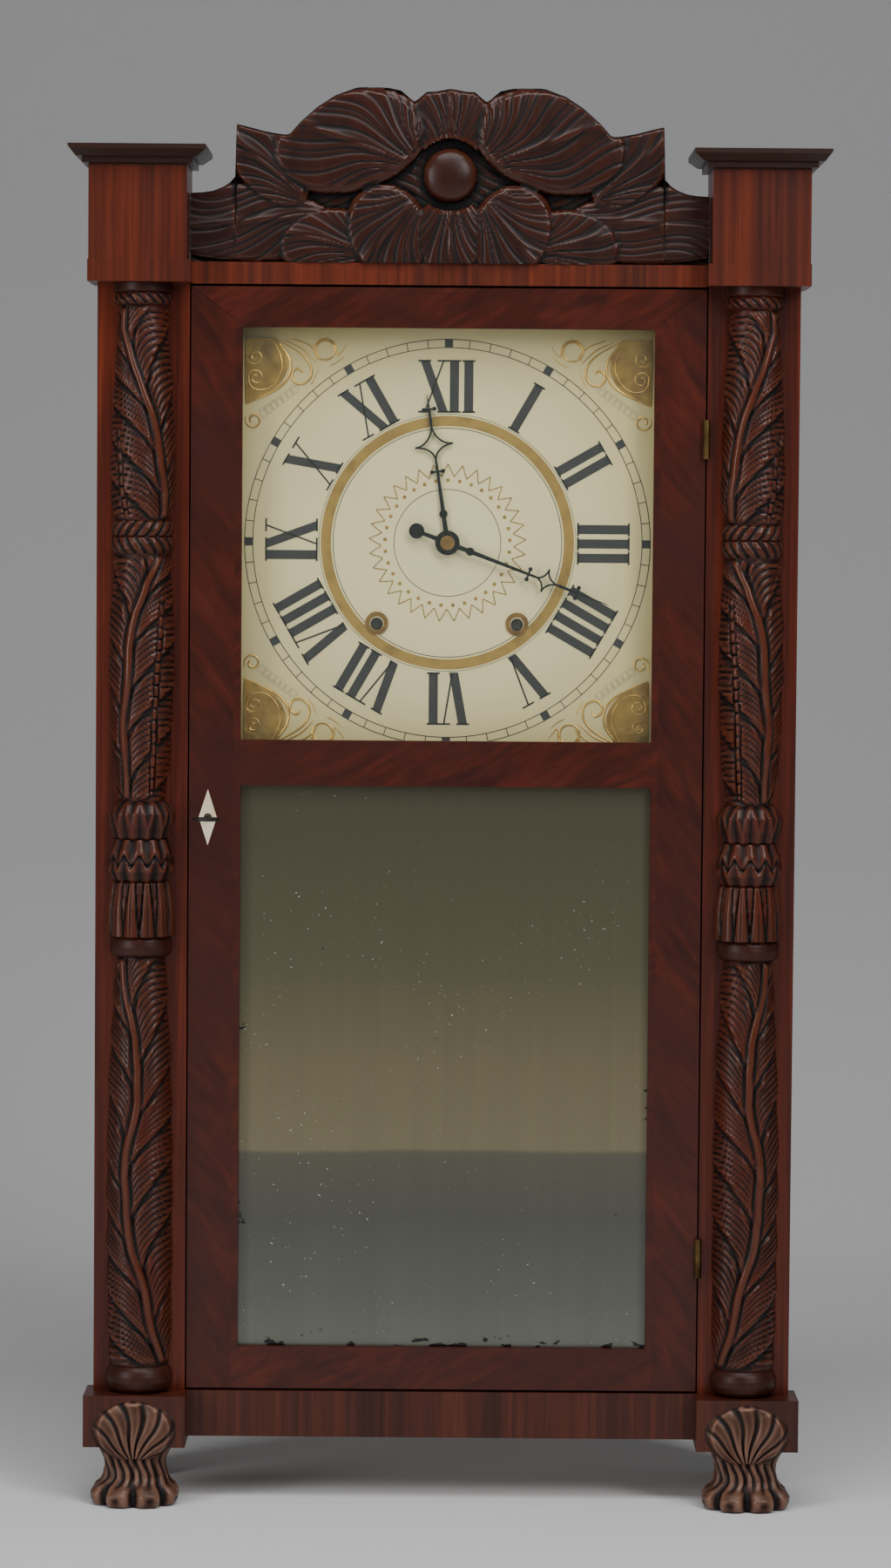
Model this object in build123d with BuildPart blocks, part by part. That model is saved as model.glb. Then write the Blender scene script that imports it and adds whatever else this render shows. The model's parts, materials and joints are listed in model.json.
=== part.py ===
"""Carved column and splat shelf clock, weight driven, with a wooden striking movement.

Millimetres, +Z up, +X to the viewer's right, the front faces -Y. The origin is on the floor,
under the centre of the clock's bounding box.
"""

from build123d import *
from math import acos, atan2, cos, degrees, hypot, pi, radians, sin
import os

# Case, measured across and down the photographed front
case_width = 457.0
front_projection = 25.0
cap_overhang = 12.0
side_thickness = 10.0
back_thickness = 8.0
pilaster_width = 60.0
pilaster_thickness = 15.0
base_rail_proud = 1.5
top_board_proud = 1.0
door_gap = 1.0
door_sill_gap = 1.5

# Heights from the floor up
foot_height = 38.4
base_block_height = 33.8
rail_bottom = 42.0
pilaster_height = 724.5
top_board_thickness = 14.2
tower_height = 61.6
cap_height = 11.6
splat_height = 113.5
bottom_board_thickness = 10.0

# Corner blocks, towers and the splat
corner_block_outset = 5.0
corner_block_lap = 1.5
tower_inset = 2.5
tower_outset = 0.6
bead_height = 4.0
bead_overhang = 4.0
cove_depth, cove_height = 4.6, 6.0
splat_plank = 17.0
splat_setback = 2.0
splat_gap = 1.0

# Door
stile_width = 33.5
top_rail_height = 26.2
middle_rail_height = 29.8
bottom_rail_height = 27.6
upper_light_height = 268.6
door_thickness = 18.0
lip_thickness = 6.0
rabbet_width = 5.0
pane_clearance = 0.5
glass_thickness = 2.0
mirror_thickness = 2.5
mirror_back_thickness = 4.0

# Dial
dial_drop = 5.0
dial_half_height = 150.0
dial_thickness = 6.0
dial_gap = 2.5
dial_hole_clearance = 0.9
winding_spread = 46.0
winding_drop = 53.5
winding_hole_radius = 4.0
winding_recess = 2.0

# Hands, each outline as pairs of distance from the centre and half width
hour_hand_heading = 351.7
minute_hand_heading = 110.7
hour_hand_outline = ((12, 1.4), (52, 1.6), (66, 14.0), (80, 1.6), (99, 0.5))
minute_hand_outline = ((12, 1.4), (60, 1.5), (70, 9.2), (80, 1.5), (112.5, 0.5))
hand_thickness = 0.9
hand_gap = 2.5
hand_hub_radius = 8.0
hand_waist = 1.4
hub_proud = 2.6
diamond_rim = 1.9
minute_tail = 21.6
tail_radius = 5.1

# Movement frame
plate_thickness = 7.0
plate_half_width = 100.0
plate_rise = 90.0
plate_fall = 118.0
plate_spacing = 33.0
motion_space = 21.0
rail_thickness = 5.5
rail_width = 16.0
rail_inset = 10.0
rail_reach = 20.0
pillar_radius = 5.0
upper_pillar_x, upper_pillar_z = 88.0, 80.0
lower_pillar_x, lower_pillar_z = 94.0, 110.0
arbor_radius = 2.0
winding_arbor_radius = 3.0
pivot_depth = 5.0
running_clearance = 0.06
small_sides = 12
disc_sides = 24

# Wheel counts, tooth sizes and the headings from each arbor to the next
great_teeth, great_pinion = 48, 8
train_teeth, train_pinion = 54, 6
escape_teeth = 44
cannon_teeth, minute_wheel_teeth = 10, 40
minute_pinion_teeth, hour_wheel_teeth = 10, 30
pin_wheel_teeth, fly_pinion = 48, 6
tooth_rise, tooth_depth = 0.75, 1.15
centre_module = 1.0
third_module = 0.9
minute_module = 0.8
pin_wheel_module = 0.9
third_arbor_heading = 78.5
escape_arbor_heading = 131.8
minute_arbor_heading = -40.0
strike_arbor_heading = 99.8
fly_arbor_heading = 71.0

# Wheel thicknesses, and where each stands behind the front plate or before it
wheel_thickness = 4.0
great_thickness = 5.0
great_offset = 3.0
wheel_gap = 1.0
pinion_lap = 1.0
centre_wheel_offset = 12.0
third_wheel_offset = 21.0
pin_wheel_offset = 15.0
minute_wheel_offset = 5.0
hour_wheel_offset = 9.0
motion_thickness = 2.5
motion_lap = 0.5
stud_radius = 1.6
hour_pipe_radius = 4.2
minute_arbor_radius = 2.2
cannon_pivot = 1.6
pipe_clearance = 0.2

# Escapement and pendulum
escape_radius = 19.0
escape_offset = 5.0
escape_thickness = 2.0
saw_depth = 3.4
saw_lean = 3.0
verge_rise = 26.5
verge_span = 35.0
verge_hub = 4.0
verge_waist = 5.0
verge_pin_radius = 1.5
verge_pin_proud = 0.5
pallet_drop = 12.0
pallet_width = 3.0
pendulum_length = 250.0
rod_radius = 1.0
rod_offset = 5.0
rod_eye = 2.2
bob_radius = 22.0
bob_thickness = 9.0
bob_edge, bob_dome = 0.35, 0.6
crutch_length = 44.0
crutch_offset = 3.0
crutch_thickness = 1.5
fork_clearance = 0.4
fork_height = 5.0

# Strike train, bell and hammer
strike_pins = 13
strike_hours = 12
pin_circle = 17.0
pin_size = 1.8
pin_length = 4.0
count_radius = 50.0
count_depth = 5.0
count_thickness = 2.0
count_slot = 0.3
fan_radius = 16.0
fan_thickness = 1.4
fan_offset, fan_width = 5.0, 8.0
bell_x, bell_drop = -40.0, 150.0
bell_radius = 30.0
bell_depth = 21.0
bell_offset = 5.0
bell_wall = 3.0
bell_crown = 5.0
bell_round = 0.33
bell_nut = 3.0
bell_post_radius = 2.0
hammer_arbor_x, hammer_arbor_z = -84.0, 10.0
hammer_gap = 3.5
hammer_head = 8.0
hammer_hub = 4.0
hammer_thickness = 3.0
hammer_head_proud = 1.0
hammer_tail_gap = 0.5
hammer_tail_spread, hammer_tail_tip = 60.0, 6.0
wire_half = 1.0
wire_inset = 1.0

# Drums, cords, pulleys and weights
drum_radius = 14.0
drum_gap = 2.0
strike_drum_radius = 27.5
strike_drum_length = 14.0
cord_radius = 0.75
cord_clearance = 0.3
cord_sides = 6
pulley_radius = 16.5
pulley_width = 6.0
flange_width = 1.6
groove_depth = 3.0
pulley_drop = 19.0
pulley_pin_radius = 1.5
cheek_thickness = 3.0
cheek_half = 10.0
cheek_drop = 7.0
cheek_gap = 0.5
weight_radius = 20.0
weight_height = 150.0
weight_rest = 12.0
eye_radius = 3.0
eye_height = 12.0

# Partitions between the movement and the weights, and the channel each weight falls in
weight_channel = 64.5
partition_thickness = 8.0
partition_notch_rise = 85.0
partition_notch_y = 25.0

# Lock and key
lock_height = 449.5
lock_inset = 12.3
lock_case_half = 8.5
lock_case_height = 32.0
lock_clearance = 0.3
escutcheon_width = 11.8
escutcheon_height = 36.6
escutcheon_thickness = 1.4
escutcheon_proud = 0.4
key_shaft_radius = 1.9
key_hole_radius = 2.5
key_reach = 17.0
key_bow_width = 17.0
key_bow_thickness = 2.0
key_bow_band = 3.0
key_bit_reach = 6.0
key_bit_thickness = 1.6
bolt_depth = 9.0
bolt_throw = 5.0
bolt_thickness = 3.0
bolt_height = 12.0
bolt_rise = 3.2
bolt_setback = 0.4
bolt_length = 14.0
mortise_clearance = 0.8

# Hinges
hinge_radius = 2.4
hinge_pin_radius = 1.1
hinge_height = 25.3
hinge_leaf = 1.2
hinge_leaf_depth = 14.0
leaf_gap = 0.1
upper_hinge_z = 698.0
lower_hinge_z = 162.0

# Feet: every half width is this much less than half the corner block's
rear_foot = 38.0
rear_foot_taper = 4.0
toes = 5
toe_bulge = 6.0
toe_flat = 0.4
toe_bevel = 0.6
toe_slope = 1.3
paw_inset = 4.75
paw_top_inset = 7.25
ankle_inset = 12.75
leaf_inset = 5.25
paw_reach = 24.0
paw_top_height = 6.0
ankle_reach = 18.0
ankle_height = 29.8
toe_height = 10.9
leaf_drop = 7.0
leaf_rise = 37.0
leaf_thickness = 5.0
leaf_foot, leaf_belly, leaf_neck, leaf_shoulder = 0.55, 0.45, 0.35, 0.9

# Splat: its sawn outline as shares of its half length and height, from the tower to the
# middle, then its boss, and its petals as shares of both with a lean and a raised height
splat_outline = (
    (1.0, 0.389),
    (0.944, 0.393),
    (0.866, 0.445),
    (0.825, 0.542),
    (0.822, 0.774),
    (0.718, 0.723),
    (0.617, 0.725),
    (0.356, 0.999),
    (0.137, 0.919),
    (0.059, 0.979),
    (0.0, 0.992),
)
boss_share = 0.5
boss_radius = 18.0
boss_proud = 8.0
boss_round = 0.45
petals = (
    (0.0, 0.83, 0.148, 0.247, 0.0, 3.0),
    (0.0, 0.176, 0.148, 0.247, 0.0, 3.0),
    (0.392, 0.687, 0.297, 0.282, -18.0, 5.0),
    (0.226, 0.211, 0.178, 0.211, 24.0, 6.0),
)

# Half columns: radii with their rise above the base block, then their drop from the case top
column_sides = 16
column_widest = 30.0
lower_profile = (
    (22.0, 0.0),
    (22.0, 18.0),
    (20.0, 18.0),
    (21.8, 153.0),
    (16.4, 286.0),
    (20.5, 286.0),
    (20.5, 299.0),
    (22.8, 299.0),
    (19.0, 335.0),
    (21.7, 348.0),
    (19.0, 362.0),
    (22.2, 380.0),
    (15.0, 387.0),
)
upper_profile = (
    (21.5, 244.5),
    (18.5, 175.5),
    (20.5, 175.5),
    (20.5, 154.5),
    (18.0, 154.5),
    (21.4, 136.5),
    (15.8, 14.5),
    (19.3, 14.5),
    (19.3, 0.0),
)

# How far a cut runs past the wood it opens, and how closely an edge is picked by its place
cut_margin = 1.0
pick = 0.01

# Planes and levels that follow from the sizes above
plates_depth = 2 * plate_thickness + plate_spacing + rail_thickness
case_depth = door_thickness + dial_gap + dial_thickness + motion_space + plates_depth + back_thickness
back_y = (case_depth + front_projection + cap_overhang) / 2
front_y = back_y - case_depth
block_front_y = front_y - front_projection
inner_front_y = front_y + pilaster_thickness
inner_back_y = back_y - back_thickness
case_half = case_width / 2
inner_half = case_half - side_thickness
pilaster_inner = case_half - pilaster_width
column_x = case_half - pilaster_width / 2
block_top = foot_height + base_block_height
case_top = block_top + pilaster_height
tower_bottom = case_top + top_board_thickness
tower_top = tower_bottom + tower_height
door_half = pilaster_inner - door_gap
door_bottom = block_top + door_sill_gap
door_top = case_top - door_sill_gap
door_back_y = front_y + door_thickness
lip_back_y = front_y + lip_thickness
light_half = door_half - stile_width
upper_light_top = door_top - top_rail_height
upper_light_bottom = upper_light_top - upper_light_height
lower_light_top = upper_light_bottom - middle_rail_height
lower_light_bottom = door_bottom + bottom_rail_height
block_inner = pilaster_inner - corner_block_lap
block_outer = case_half + corner_block_outset
corner_block_width = block_outer - block_inner
dial_front_y = door_back_y + dial_gap
dial_back_y = dial_front_y + dial_thickness
dial_z = (upper_light_top + upper_light_bottom) / 2 - dial_drop
plate_front_y = dial_back_y + motion_space
gap_front_y = plate_front_y + plate_thickness
gap_back_y = gap_front_y + plate_spacing
plate_back_y = gap_back_y + plate_thickness
floor_top = block_top
weight_x = inner_half - weight_channel / 2
partition_x = inner_half - weight_channel - partition_thickness
dial_half_width = partition_x + partition_thickness / 2
lock_x = lock_inset - door_half


def span(start, length):
    """The (front, back) depths of a piece that is as thick as length."""
    return (start, start + length)


def beyond(depths, lap):
    """The same depths, reaching further by the lap at both ends."""
    return (depths[0] - lap, depths[1] + lap)


time_great_y = span(gap_front_y + great_offset, great_thickness)
time_drum_y = (time_great_y[1] + wheel_gap, gap_back_y - drum_gap)
strike_great_y = span(gap_back_y - great_offset - great_thickness, great_thickness)
strike_drum_y = span(strike_great_y[0] - wheel_gap - strike_drum_length, strike_drum_length)
centre_pinion_y = beyond(time_great_y, pinion_lap)
centre_wheel_y = span(gap_front_y + centre_wheel_offset, wheel_thickness)
third_pinion_y = beyond(centre_wheel_y, pinion_lap)
third_wheel_y = span(gap_front_y + third_wheel_offset, wheel_thickness)
escape_pinion_y = beyond(third_wheel_y, pinion_lap)
escape_y = span(plate_front_y - escape_offset, escape_thickness)
pin_pinion_y = beyond(strike_great_y, pinion_lap)
pin_wheel_y = span(gap_front_y + pin_wheel_offset, wheel_thickness)
pins_y = span(pin_wheel_y[1], pin_length)
fly_pinion_y = beyond(pin_wheel_y, pinion_lap)
fan_y = span(gap_front_y + fan_offset, fan_width)
count_y = span(strike_great_y[1], count_thickness)
hammer_y = span(pins_y[1] - hammer_thickness, hammer_thickness)
bell_y = span(gap_front_y + bell_offset, bell_depth)
minute_wheel_y = span(plate_front_y - minute_wheel_offset, motion_thickness)
cannon_y = beyond(minute_wheel_y, motion_lap)
hour_wheel_y = span(plate_front_y - hour_wheel_offset, motion_thickness)
minute_pinion_y = (hour_wheel_y[0] - motion_lap, minute_wheel_y[0])
motion_y = (minute_pinion_y[0] - motion_lap, plate_front_y)
hour_hand_y = span(dial_front_y - hand_gap, hand_thickness)
minute_hand_y = span(hour_hand_y[0] - hand_gap, hand_thickness)
winding_square_y = dial_back_y - winding_recess
rod_y = dial_back_y + rod_offset
crutch_y = span(rod_y + crutch_offset, crutch_thickness)
verge_pin_y = rod_y - rod_eye - verge_pin_proud
wrap_radius = pulley_radius - groove_depth + cord_radius + cord_clearance


def facing(y):
    """A drawing plane parallel to the clock's front at depth y: its normal points at the viewer."""
    return Plane.XZ.offset(-y)


def save(piece, name):
    """Names a finished piece and writes it."""
    piece.part.label = name
    export_step(piece.part, f"parts/{name}.step")


def save_pair(piece, name):
    """Writes a right-hand piece and its mirror image on the left."""
    save(piece, f"{name}_right")
    with BuildPart() as other:
        add(mirror(piece.part, about=Plane.YZ))
    save(other, f"{name}_left")


def block(x, y, z, mode=Mode.ADD):
    """A squared block inside the open part, from its (low, high) reach along each axis."""
    centre = ((x[0] + x[1]) / 2, (y[0] + y[1]) / 2, (z[0] + z[1]) / 2)
    with Locations(centre):
        Box(x[1] - x[0], y[1] - y[0], z[1] - z[0], mode=mode)


def rod(x, z, radius, y, mode=Mode.ADD):
    """A round bar or hole along the depth axis inside the open part, between two depths."""
    with BuildSketch(facing(y[1])) as round_face:
        with Locations((x, z)):
            Circle(radius)
    extrude(round_face.sketch, amount=y[1] - y[0], mode=mode)


def bar(x, z, radius, y, mode=Mode.ADD):
    """A small bar on the depth axis inside the open part, faceted to keep the model light."""
    with BuildSketch(facing(y[1])) as round_face:
        with Locations((x, z)):
            RegularPolygon(radius, small_sides)
    extrude(round_face.sketch, amount=y[1] - y[0], mode=mode)


def bearing(x, z, radius, y):
    """A hole on the depth axis in which a bar of the given radius turns."""
    with BuildSketch(facing(y[1])) as round_face:
        with Locations((x, z)):
            RegularPolygon(radius + running_clearance, small_sides, major_radius=False)
    extrude(round_face.sketch, amount=y[1] - y[0], mode=Mode.SUBTRACT)


def disc(x, z, radius, y, mode=Mode.ADD):
    """A larger faceted disc on the depth axis inside the open part."""
    with BuildSketch(facing(y[1])) as face:
        with Locations((x, z)):
            RegularPolygon(radius, disc_sides)
    extrude(face.sketch, amount=y[1] - y[0], mode=mode)


def plate(points, y, mode=Mode.ADD):
    """A flat shape in the front view inside the open part, from its corners and its depths."""
    with BuildSketch(facing(y[1])) as shape:
        with BuildLine():
            Polyline(*points, close=True)
        make_face()
    extrude(shape.sketch, amount=y[1] - y[0], mode=mode)


def polar(x, z, radius, heading):
    """The point at a radius and a heading, in degrees from +X towards +Z."""
    return (x + radius * cos(radians(heading)), z + radius * sin(radians(heading)))


def gear(x, z, teeth, module, y, heading):
    """A pointed-tooth wheel or pinion with one tooth aimed along the heading."""
    root = module * (teeth / 2 - tooth_depth)
    tip = module * (teeth / 2 + tooth_rise)
    step = 360 / teeth
    points = []
    for tooth in range(teeth):
        points.append(polar(x, z, tip, heading + tooth * step))
        points.append(polar(x, z, root, heading + (tooth + 0.5) * step))
    plate(points, y)


def save_board(name, x, y, z):
    """Writes a plain squared board."""
    with BuildPart() as board:
        block(x, y, z)
    save(board, name)


os.makedirs("parts", exist_ok=True)

# Case boards
with BuildPart() as side_boards:
    for sign in (-1, 1):
        edges = sorted((sign * inner_half, sign * case_half))
        block(edges, (inner_front_y, back_y), (rail_bottom, case_top))
save(side_boards, "side_boards")

with BuildPart() as back_board:
    block((-inner_half, inner_half), (inner_back_y, back_y), (rail_bottom, case_top))
    for sign in (-1, 1):
        outer = plate_half_width - rail_inset
        edges = sorted((sign * (outer - rail_width), sign * outer))
        reach = (dial_z - plate_fall - rail_reach, dial_z + plate_rise + rail_reach)
        block(edges, (plate_back_y, inner_back_y), reach)
save(back_board, "back_board")

save_board(
    "bottom_board",
    (-inner_half, inner_half),
    (inner_front_y, inner_back_y),
    (floor_top - bottom_board_thickness, floor_top),
)
save_board(
    "base_rail",
    (-block_inner, block_inner),
    (front_y - base_rail_proud, inner_front_y),
    (rail_bottom, block_top),
)

# Top board, notched for the towers, with the pulley cheeks hanging from it
tower_half = corner_block_width / 2
tower_back_y = block_front_y + corner_block_width
pulley_x = weight_x - wrap_radius
pulley_z = case_top - pulley_drop
time_cord_y = sum(time_drum_y) / 2
strike_cord_y = sum(strike_drum_y) / 2

with BuildPart() as top_board:
    block((-case_half, case_half), (front_y - top_board_proud, back_y), (case_top, tower_bottom))
    for sign in (-1, 1):
        corner = sorted((sign * block_inner, sign * (block_outer + cut_margin)))
        notch = (block_front_y, tower_back_y)
        block(corner, notch, beyond((case_top, tower_bottom), cut_margin), mode=Mode.SUBTRACT)
    for sign, cord_y in ((1, time_cord_y), (-1, strike_cord_y)):
        inner = pulley_width / 2 + cheek_gap
        for face in (-1, 1):
            cheek = sorted((cord_y + face * inner, cord_y + face * (inner + cheek_thickness)))
            across = (sign * pulley_x - cheek_half, sign * pulley_x + cheek_half)
            block(across, cheek, (pulley_z - cheek_drop, case_top))
        bar(sign * pulley_x, pulley_z, pulley_pin_radius, (cord_y - inner, cord_y + inner))
save(top_board, "top_board")

# Pilasters: the right one is let in for the hinges, the left one for the lock bolt
hinge_levels = (upper_hinge_z, lower_hinge_z)
hinge_x = door_half + door_gap / 2
hinge_y = front_y - hinge_radius - leaf_gap
leaf_pocket = hinge_leaf - door_gap / 2 + 2 * leaf_gap
bolt_y = span(front_y + bolt_depth, bolt_thickness)
bolt_z = span(lock_height + bolt_rise, bolt_height)

with BuildPart() as pilaster_right:
    block((pilaster_inner, case_half), (front_y, inner_front_y), (block_top, case_top))
    for level in hinge_levels:
        pocket = (pilaster_inner - cut_margin, pilaster_inner + leaf_pocket)
        reach = (level - hinge_height / 2, level + hinge_height / 2)
        depths = (front_y - cut_margin, front_y + hinge_leaf_depth)
        block(pocket, depths, reach, mode=Mode.SUBTRACT)
save(pilaster_right, "pilaster_right")

with BuildPart() as pilaster_left:
    block((-case_half, -pilaster_inner), (front_y, inner_front_y), (block_top, case_top))
    block(
        (-pilaster_inner - bolt_throw, -pilaster_inner + cut_margin),
        beyond(bolt_y, mortise_clearance),
        beyond(bolt_z, mortise_clearance),
        mode=Mode.SUBTRACT,
    )
save(pilaster_left, "pilaster_left")

# Towers with their band below and cyma cap above
tower_inner_x = block_inner + tower_inset
tower_outer_x = block_outer - tower_outset
shaft_half = (tower_outer_x - tower_inner_x) / 2
shaft_x = (tower_outer_x + tower_inner_x) / 2
shaft_front_y = block_front_y + tower_outset
shaft_y = shaft_front_y + shaft_half
cap_half = shaft_half + cap_overhang + tower_outset
cove_z = tower_top + bead_height
with BuildPart() as tower:
    block((block_inner, block_outer), (block_front_y, tower_back_y), (case_top, tower_bottom))
    with BuildSketch(Plane.XY.offset(tower_bottom)):
        with Locations((shaft_x, shaft_y)):
            Rectangle(2 * shaft_half, 2 * shaft_half)
    extrude(amount=tower_height)
    with BuildSketch(Plane.XY.offset(tower_top)):
        with Locations((shaft_x, shaft_y)):
            Rectangle(2 * (shaft_half + bead_overhang), 2 * (shaft_half + bead_overhang))
    extrude(amount=bead_height)
    with BuildSketch(Plane.XY.offset(cove_z)):
        with Locations((shaft_x, shaft_y)):
            Rectangle(2 * cap_half, 2 * cap_half)
    extrude(amount=cap_height - bead_height)
    cap_edges = tower.edges().filter_by_position(Axis.Z, cove_z - pick, cove_z + pick)
    chamfer(cap_edges.filter_by(lambda e: e.length > 2 * cap_half - pick), cove_depth, cove_height)
save_pair(tower, "tower")

# Carved splat: sawn plank, petals raised from it, and the round boss
splat_front_y = front_y + splat_setback
splat_back_y = splat_front_y + splat_plank
splat_end = tower_inner_x - splat_gap
boss_z = tower_bottom + splat_height * boss_share


def splat_face(petal=None):
    """The splat's sawn outline in the front view, cut down to one petal's oval if it is given."""
    with BuildSketch(facing(splat_back_y)) as face:
        with BuildLine():
            at = [(splat_end * x, tower_bottom + splat_height * rise) for x, rise in splat_outline]
            Polyline((0, tower_bottom), (splat_end, tower_bottom), at[0], at[1])
            ThreePointArc(at[1], at[2], at[3])
            Line(at[3], at[4])
            ThreePointArc(at[4], at[5], at[6])
            ThreePointArc(at[6], at[7], at[8])
            ThreePointArc(at[8], at[9], at[10])
            mirror(about=Plane.YZ)
        make_face()
        if petal:
            x, rise, half_width, half_height, lean = petal
            middle = (splat_end * x, tower_bottom + splat_height * rise)
            with Locations(Location(middle, (0, 0, lean))):
                Ellipse(splat_end * half_width, splat_height * half_height, mode=Mode.INTERSECT)
    return face.sketch


with BuildPart() as splat:
    extrude(splat_face(), amount=splat_plank)
    for x, rise, half_width, half_height, lean, proud in petals:
        for sign in (-1, 1) if x else (1,):
            oval = splat_face((sign * x, rise, half_width, half_height, sign * lean))
            extrude(oval, amount=splat_plank + proud)
    rod(0, boss_z, boss_radius, (splat_front_y - boss_proud, splat_front_y))
    rim = splat.faces().sort_by(Axis.Y)[0].edges()
    chamfer(rim, boss_proud * boss_round, boss_radius * boss_round)
save(splat, "splat")

# Half columns: one turning with facets for its carving, split and planted on the pilasters
profile = [*lower_profile, *((radius, pilaster_height - drop) for radius, drop in upper_profile)]
with BuildPart() as half_column:
    for turn in range(column_sides // 2):
        face_on = Plane(
            origin=(column_x, front_y, block_top),
            x_dir=(cos(2 * pi * turn / column_sides), sin(2 * pi * turn / column_sides), 0),
            z_dir=(sin(2 * pi * turn / column_sides), -cos(2 * pi * turn / column_sides), 0),
        )
        with BuildSketch(face_on):
            with BuildLine():
                Polyline(
                    *profile,
                    *[(-radius, rise) for radius, rise in reversed(profile)],
                    close=True,
                )
            make_face()
        reach = Mode.INTERSECT if turn else Mode.ADD
        extrude(amount=column_widest, both=True, mode=reach)
    split(bisect_by=Plane.XZ.offset(-front_y))
save_pair(half_column, "half_column")

# Base blocks and the carved feet below them
with BuildPart() as base_block:
    block(
        (block_inner, block_outer),
        (block_front_y, inner_front_y),
        (foot_height, block_top),
    )
save_pair(base_block, "base_block")

foot_x = (block_inner + block_outer) / 2
foot_y = (block_front_y + inner_front_y) / 2
paw_half_width = tower_half - paw_inset
paw_top_half = tower_half - paw_top_inset
ankle_half_width = tower_half - ankle_inset
leaf_half = tower_half - leaf_inset
paw_front = foot_y - paw_reach
toe_width = 2 * paw_half_width / toes

with BuildPart() as paw_foot:
    with BuildSketch():
        with BuildLine():
            Polyline(
                (foot_x + paw_half_width, paw_front),
                (foot_x + paw_half_width, inner_front_y),
                (foot_x - paw_half_width, inner_front_y),
                (foot_x - paw_half_width, paw_front),
            )
            for toe in range(toes):
                left = foot_x - paw_half_width + toe * toe_width
                bulge = toe_bulge * (1 - abs(toe - (toes - 1) / 2) / toes)
                Polyline(
                    (left, paw_front),
                    (left + toe_width * (1 - toe_flat) / 2, paw_front - bulge),
                    (left + toe_width * (1 + toe_flat) / 2, paw_front - bulge),
                    (left + toe_width, paw_front),
                )
        make_face()
    extrude(amount=ankle_height)
    with BuildSketch(facing(inner_front_y)):
        with BuildLine():
            Polyline(
                (foot_x - paw_half_width, 0),
                (foot_x + paw_half_width, 0),
                (foot_x + paw_half_width, toe_height),
                (foot_x + ankle_half_width, ankle_height),
                (foot_x - ankle_half_width, ankle_height),
                (foot_x - paw_half_width, toe_height),
                close=True,
            )
        make_face()
    extrude(amount=inner_front_y - paw_front + toe_bulge, mode=Mode.INTERSECT)
    with BuildSketch(Plane.YZ.offset(foot_x - paw_half_width)):
        with BuildLine():
            Polyline(
                (inner_front_y, 0),
                (paw_front - toe_bulge, 0),
                (paw_front - toe_bulge, toe_height * toe_bevel),
                (paw_front, toe_height * toe_slope),
                (foot_y - ankle_reach, ankle_height),
                (inner_front_y, ankle_height),
                close=True,
            )
        make_face()
    extrude(amount=2 * paw_half_width, mode=Mode.INTERSECT)
    block(
        (foot_x - ankle_half_width, foot_x + ankle_half_width),
        (foot_y - ankle_reach, inner_front_y),
        (0, foot_height),
    )
    block(
        (foot_x - paw_top_half, foot_x + paw_top_half),
        (block_front_y, inner_front_y),
        (foot_height - paw_top_height, foot_height),
    )
    leaf_bottom = foot_height - leaf_drop
    with BuildSketch(facing(block_front_y)):
        with BuildLine():
            half_foot = leaf_half * leaf_foot
            half_neck = leaf_half * leaf_neck
            belly_z = leaf_bottom + leaf_rise * leaf_belly
            neck_z = leaf_bottom + leaf_rise * leaf_shoulder
            start = Line((foot_x - half_foot, leaf_bottom), (foot_x + half_foot, leaf_bottom))
            right = ThreePointArc(
                start @ 1, (foot_x + leaf_half, belly_z), (foot_x + half_neck, neck_z)
            )
            tip = Line(right @ 1, (foot_x, leaf_bottom + leaf_rise))
            left = Line(tip @ 1, (foot_x - half_neck, neck_z))
            ThreePointArc(left @ 1, (foot_x - leaf_half, belly_z), start @ 0)
        make_face()
    extrude(amount=leaf_thickness)
save_pair(paw_foot, "paw_foot")

with BuildPart() as rear_feet:
    for sign in (-1, 1):
        with BuildSketch(Plane.XY.offset(rail_bottom)) as top_of_foot:
            with Locations((sign * (case_half - rear_foot / 2), back_y - rear_foot / 2)):
                Rectangle(rear_foot, rear_foot)
        extrude(top_of_foot.sketch, amount=-rail_bottom, taper=rear_foot_taper)
save(rear_feet, "rear_feet")

# Partitions that keep the weights in their own channels, open at the top for the cords
with BuildPart() as partitions:
    for sign in (-1, 1):
        across = sorted((sign * partition_x, sign * (partition_x + partition_thickness)))
        block(across, (dial_back_y, inner_back_y), (floor_top, case_top))
        block(
            across,
            (partition_notch_y, inner_back_y),
            (dial_z + partition_notch_rise, case_top),
            mode=Mode.SUBTRACT,
        )
save(partitions, "partitions")

# Door frame: rails between full stiles, rabbeted behind a front lip for glass and mirror
rabbet_half = light_half + rabbet_width


def door_rail(name, lip, body):
    """One rail: its front lip and the narrower body behind, each as (low, high) heights."""
    with BuildPart() as rail:
        block((-light_half, light_half), (front_y, lip_back_y), lip)
        block((-rabbet_half, rabbet_half), (lip_back_y, door_back_y), body)
    save(rail, name)


door_rail("door_rail_top", (upper_light_top, door_top), (upper_light_top + rabbet_width, door_top))
door_rail(
    "door_rail_middle",
    (lower_light_top, upper_light_bottom),
    (lower_light_top + rabbet_width, upper_light_bottom - rabbet_width),
)
door_rail(
    "door_rail_bottom",
    (door_bottom, lower_light_bottom),
    (door_bottom, lower_light_bottom - rabbet_width),
)

with BuildPart() as door_stile_right:
    block((rabbet_half, door_half), (front_y, door_back_y), (door_bottom, door_top))
    block((light_half, rabbet_half), (front_y, lip_back_y), (door_bottom, door_top))
    for level in hinge_levels:
        block(
            (hinge_x - leaf_gap - hinge_leaf, door_half + cut_margin),
            (front_y - cut_margin, front_y + hinge_leaf_depth),
            (level - hinge_height / 2, level + hinge_height / 2),
            mode=Mode.SUBTRACT,
        )
save(door_stile_right, "door_stile_right")

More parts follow.
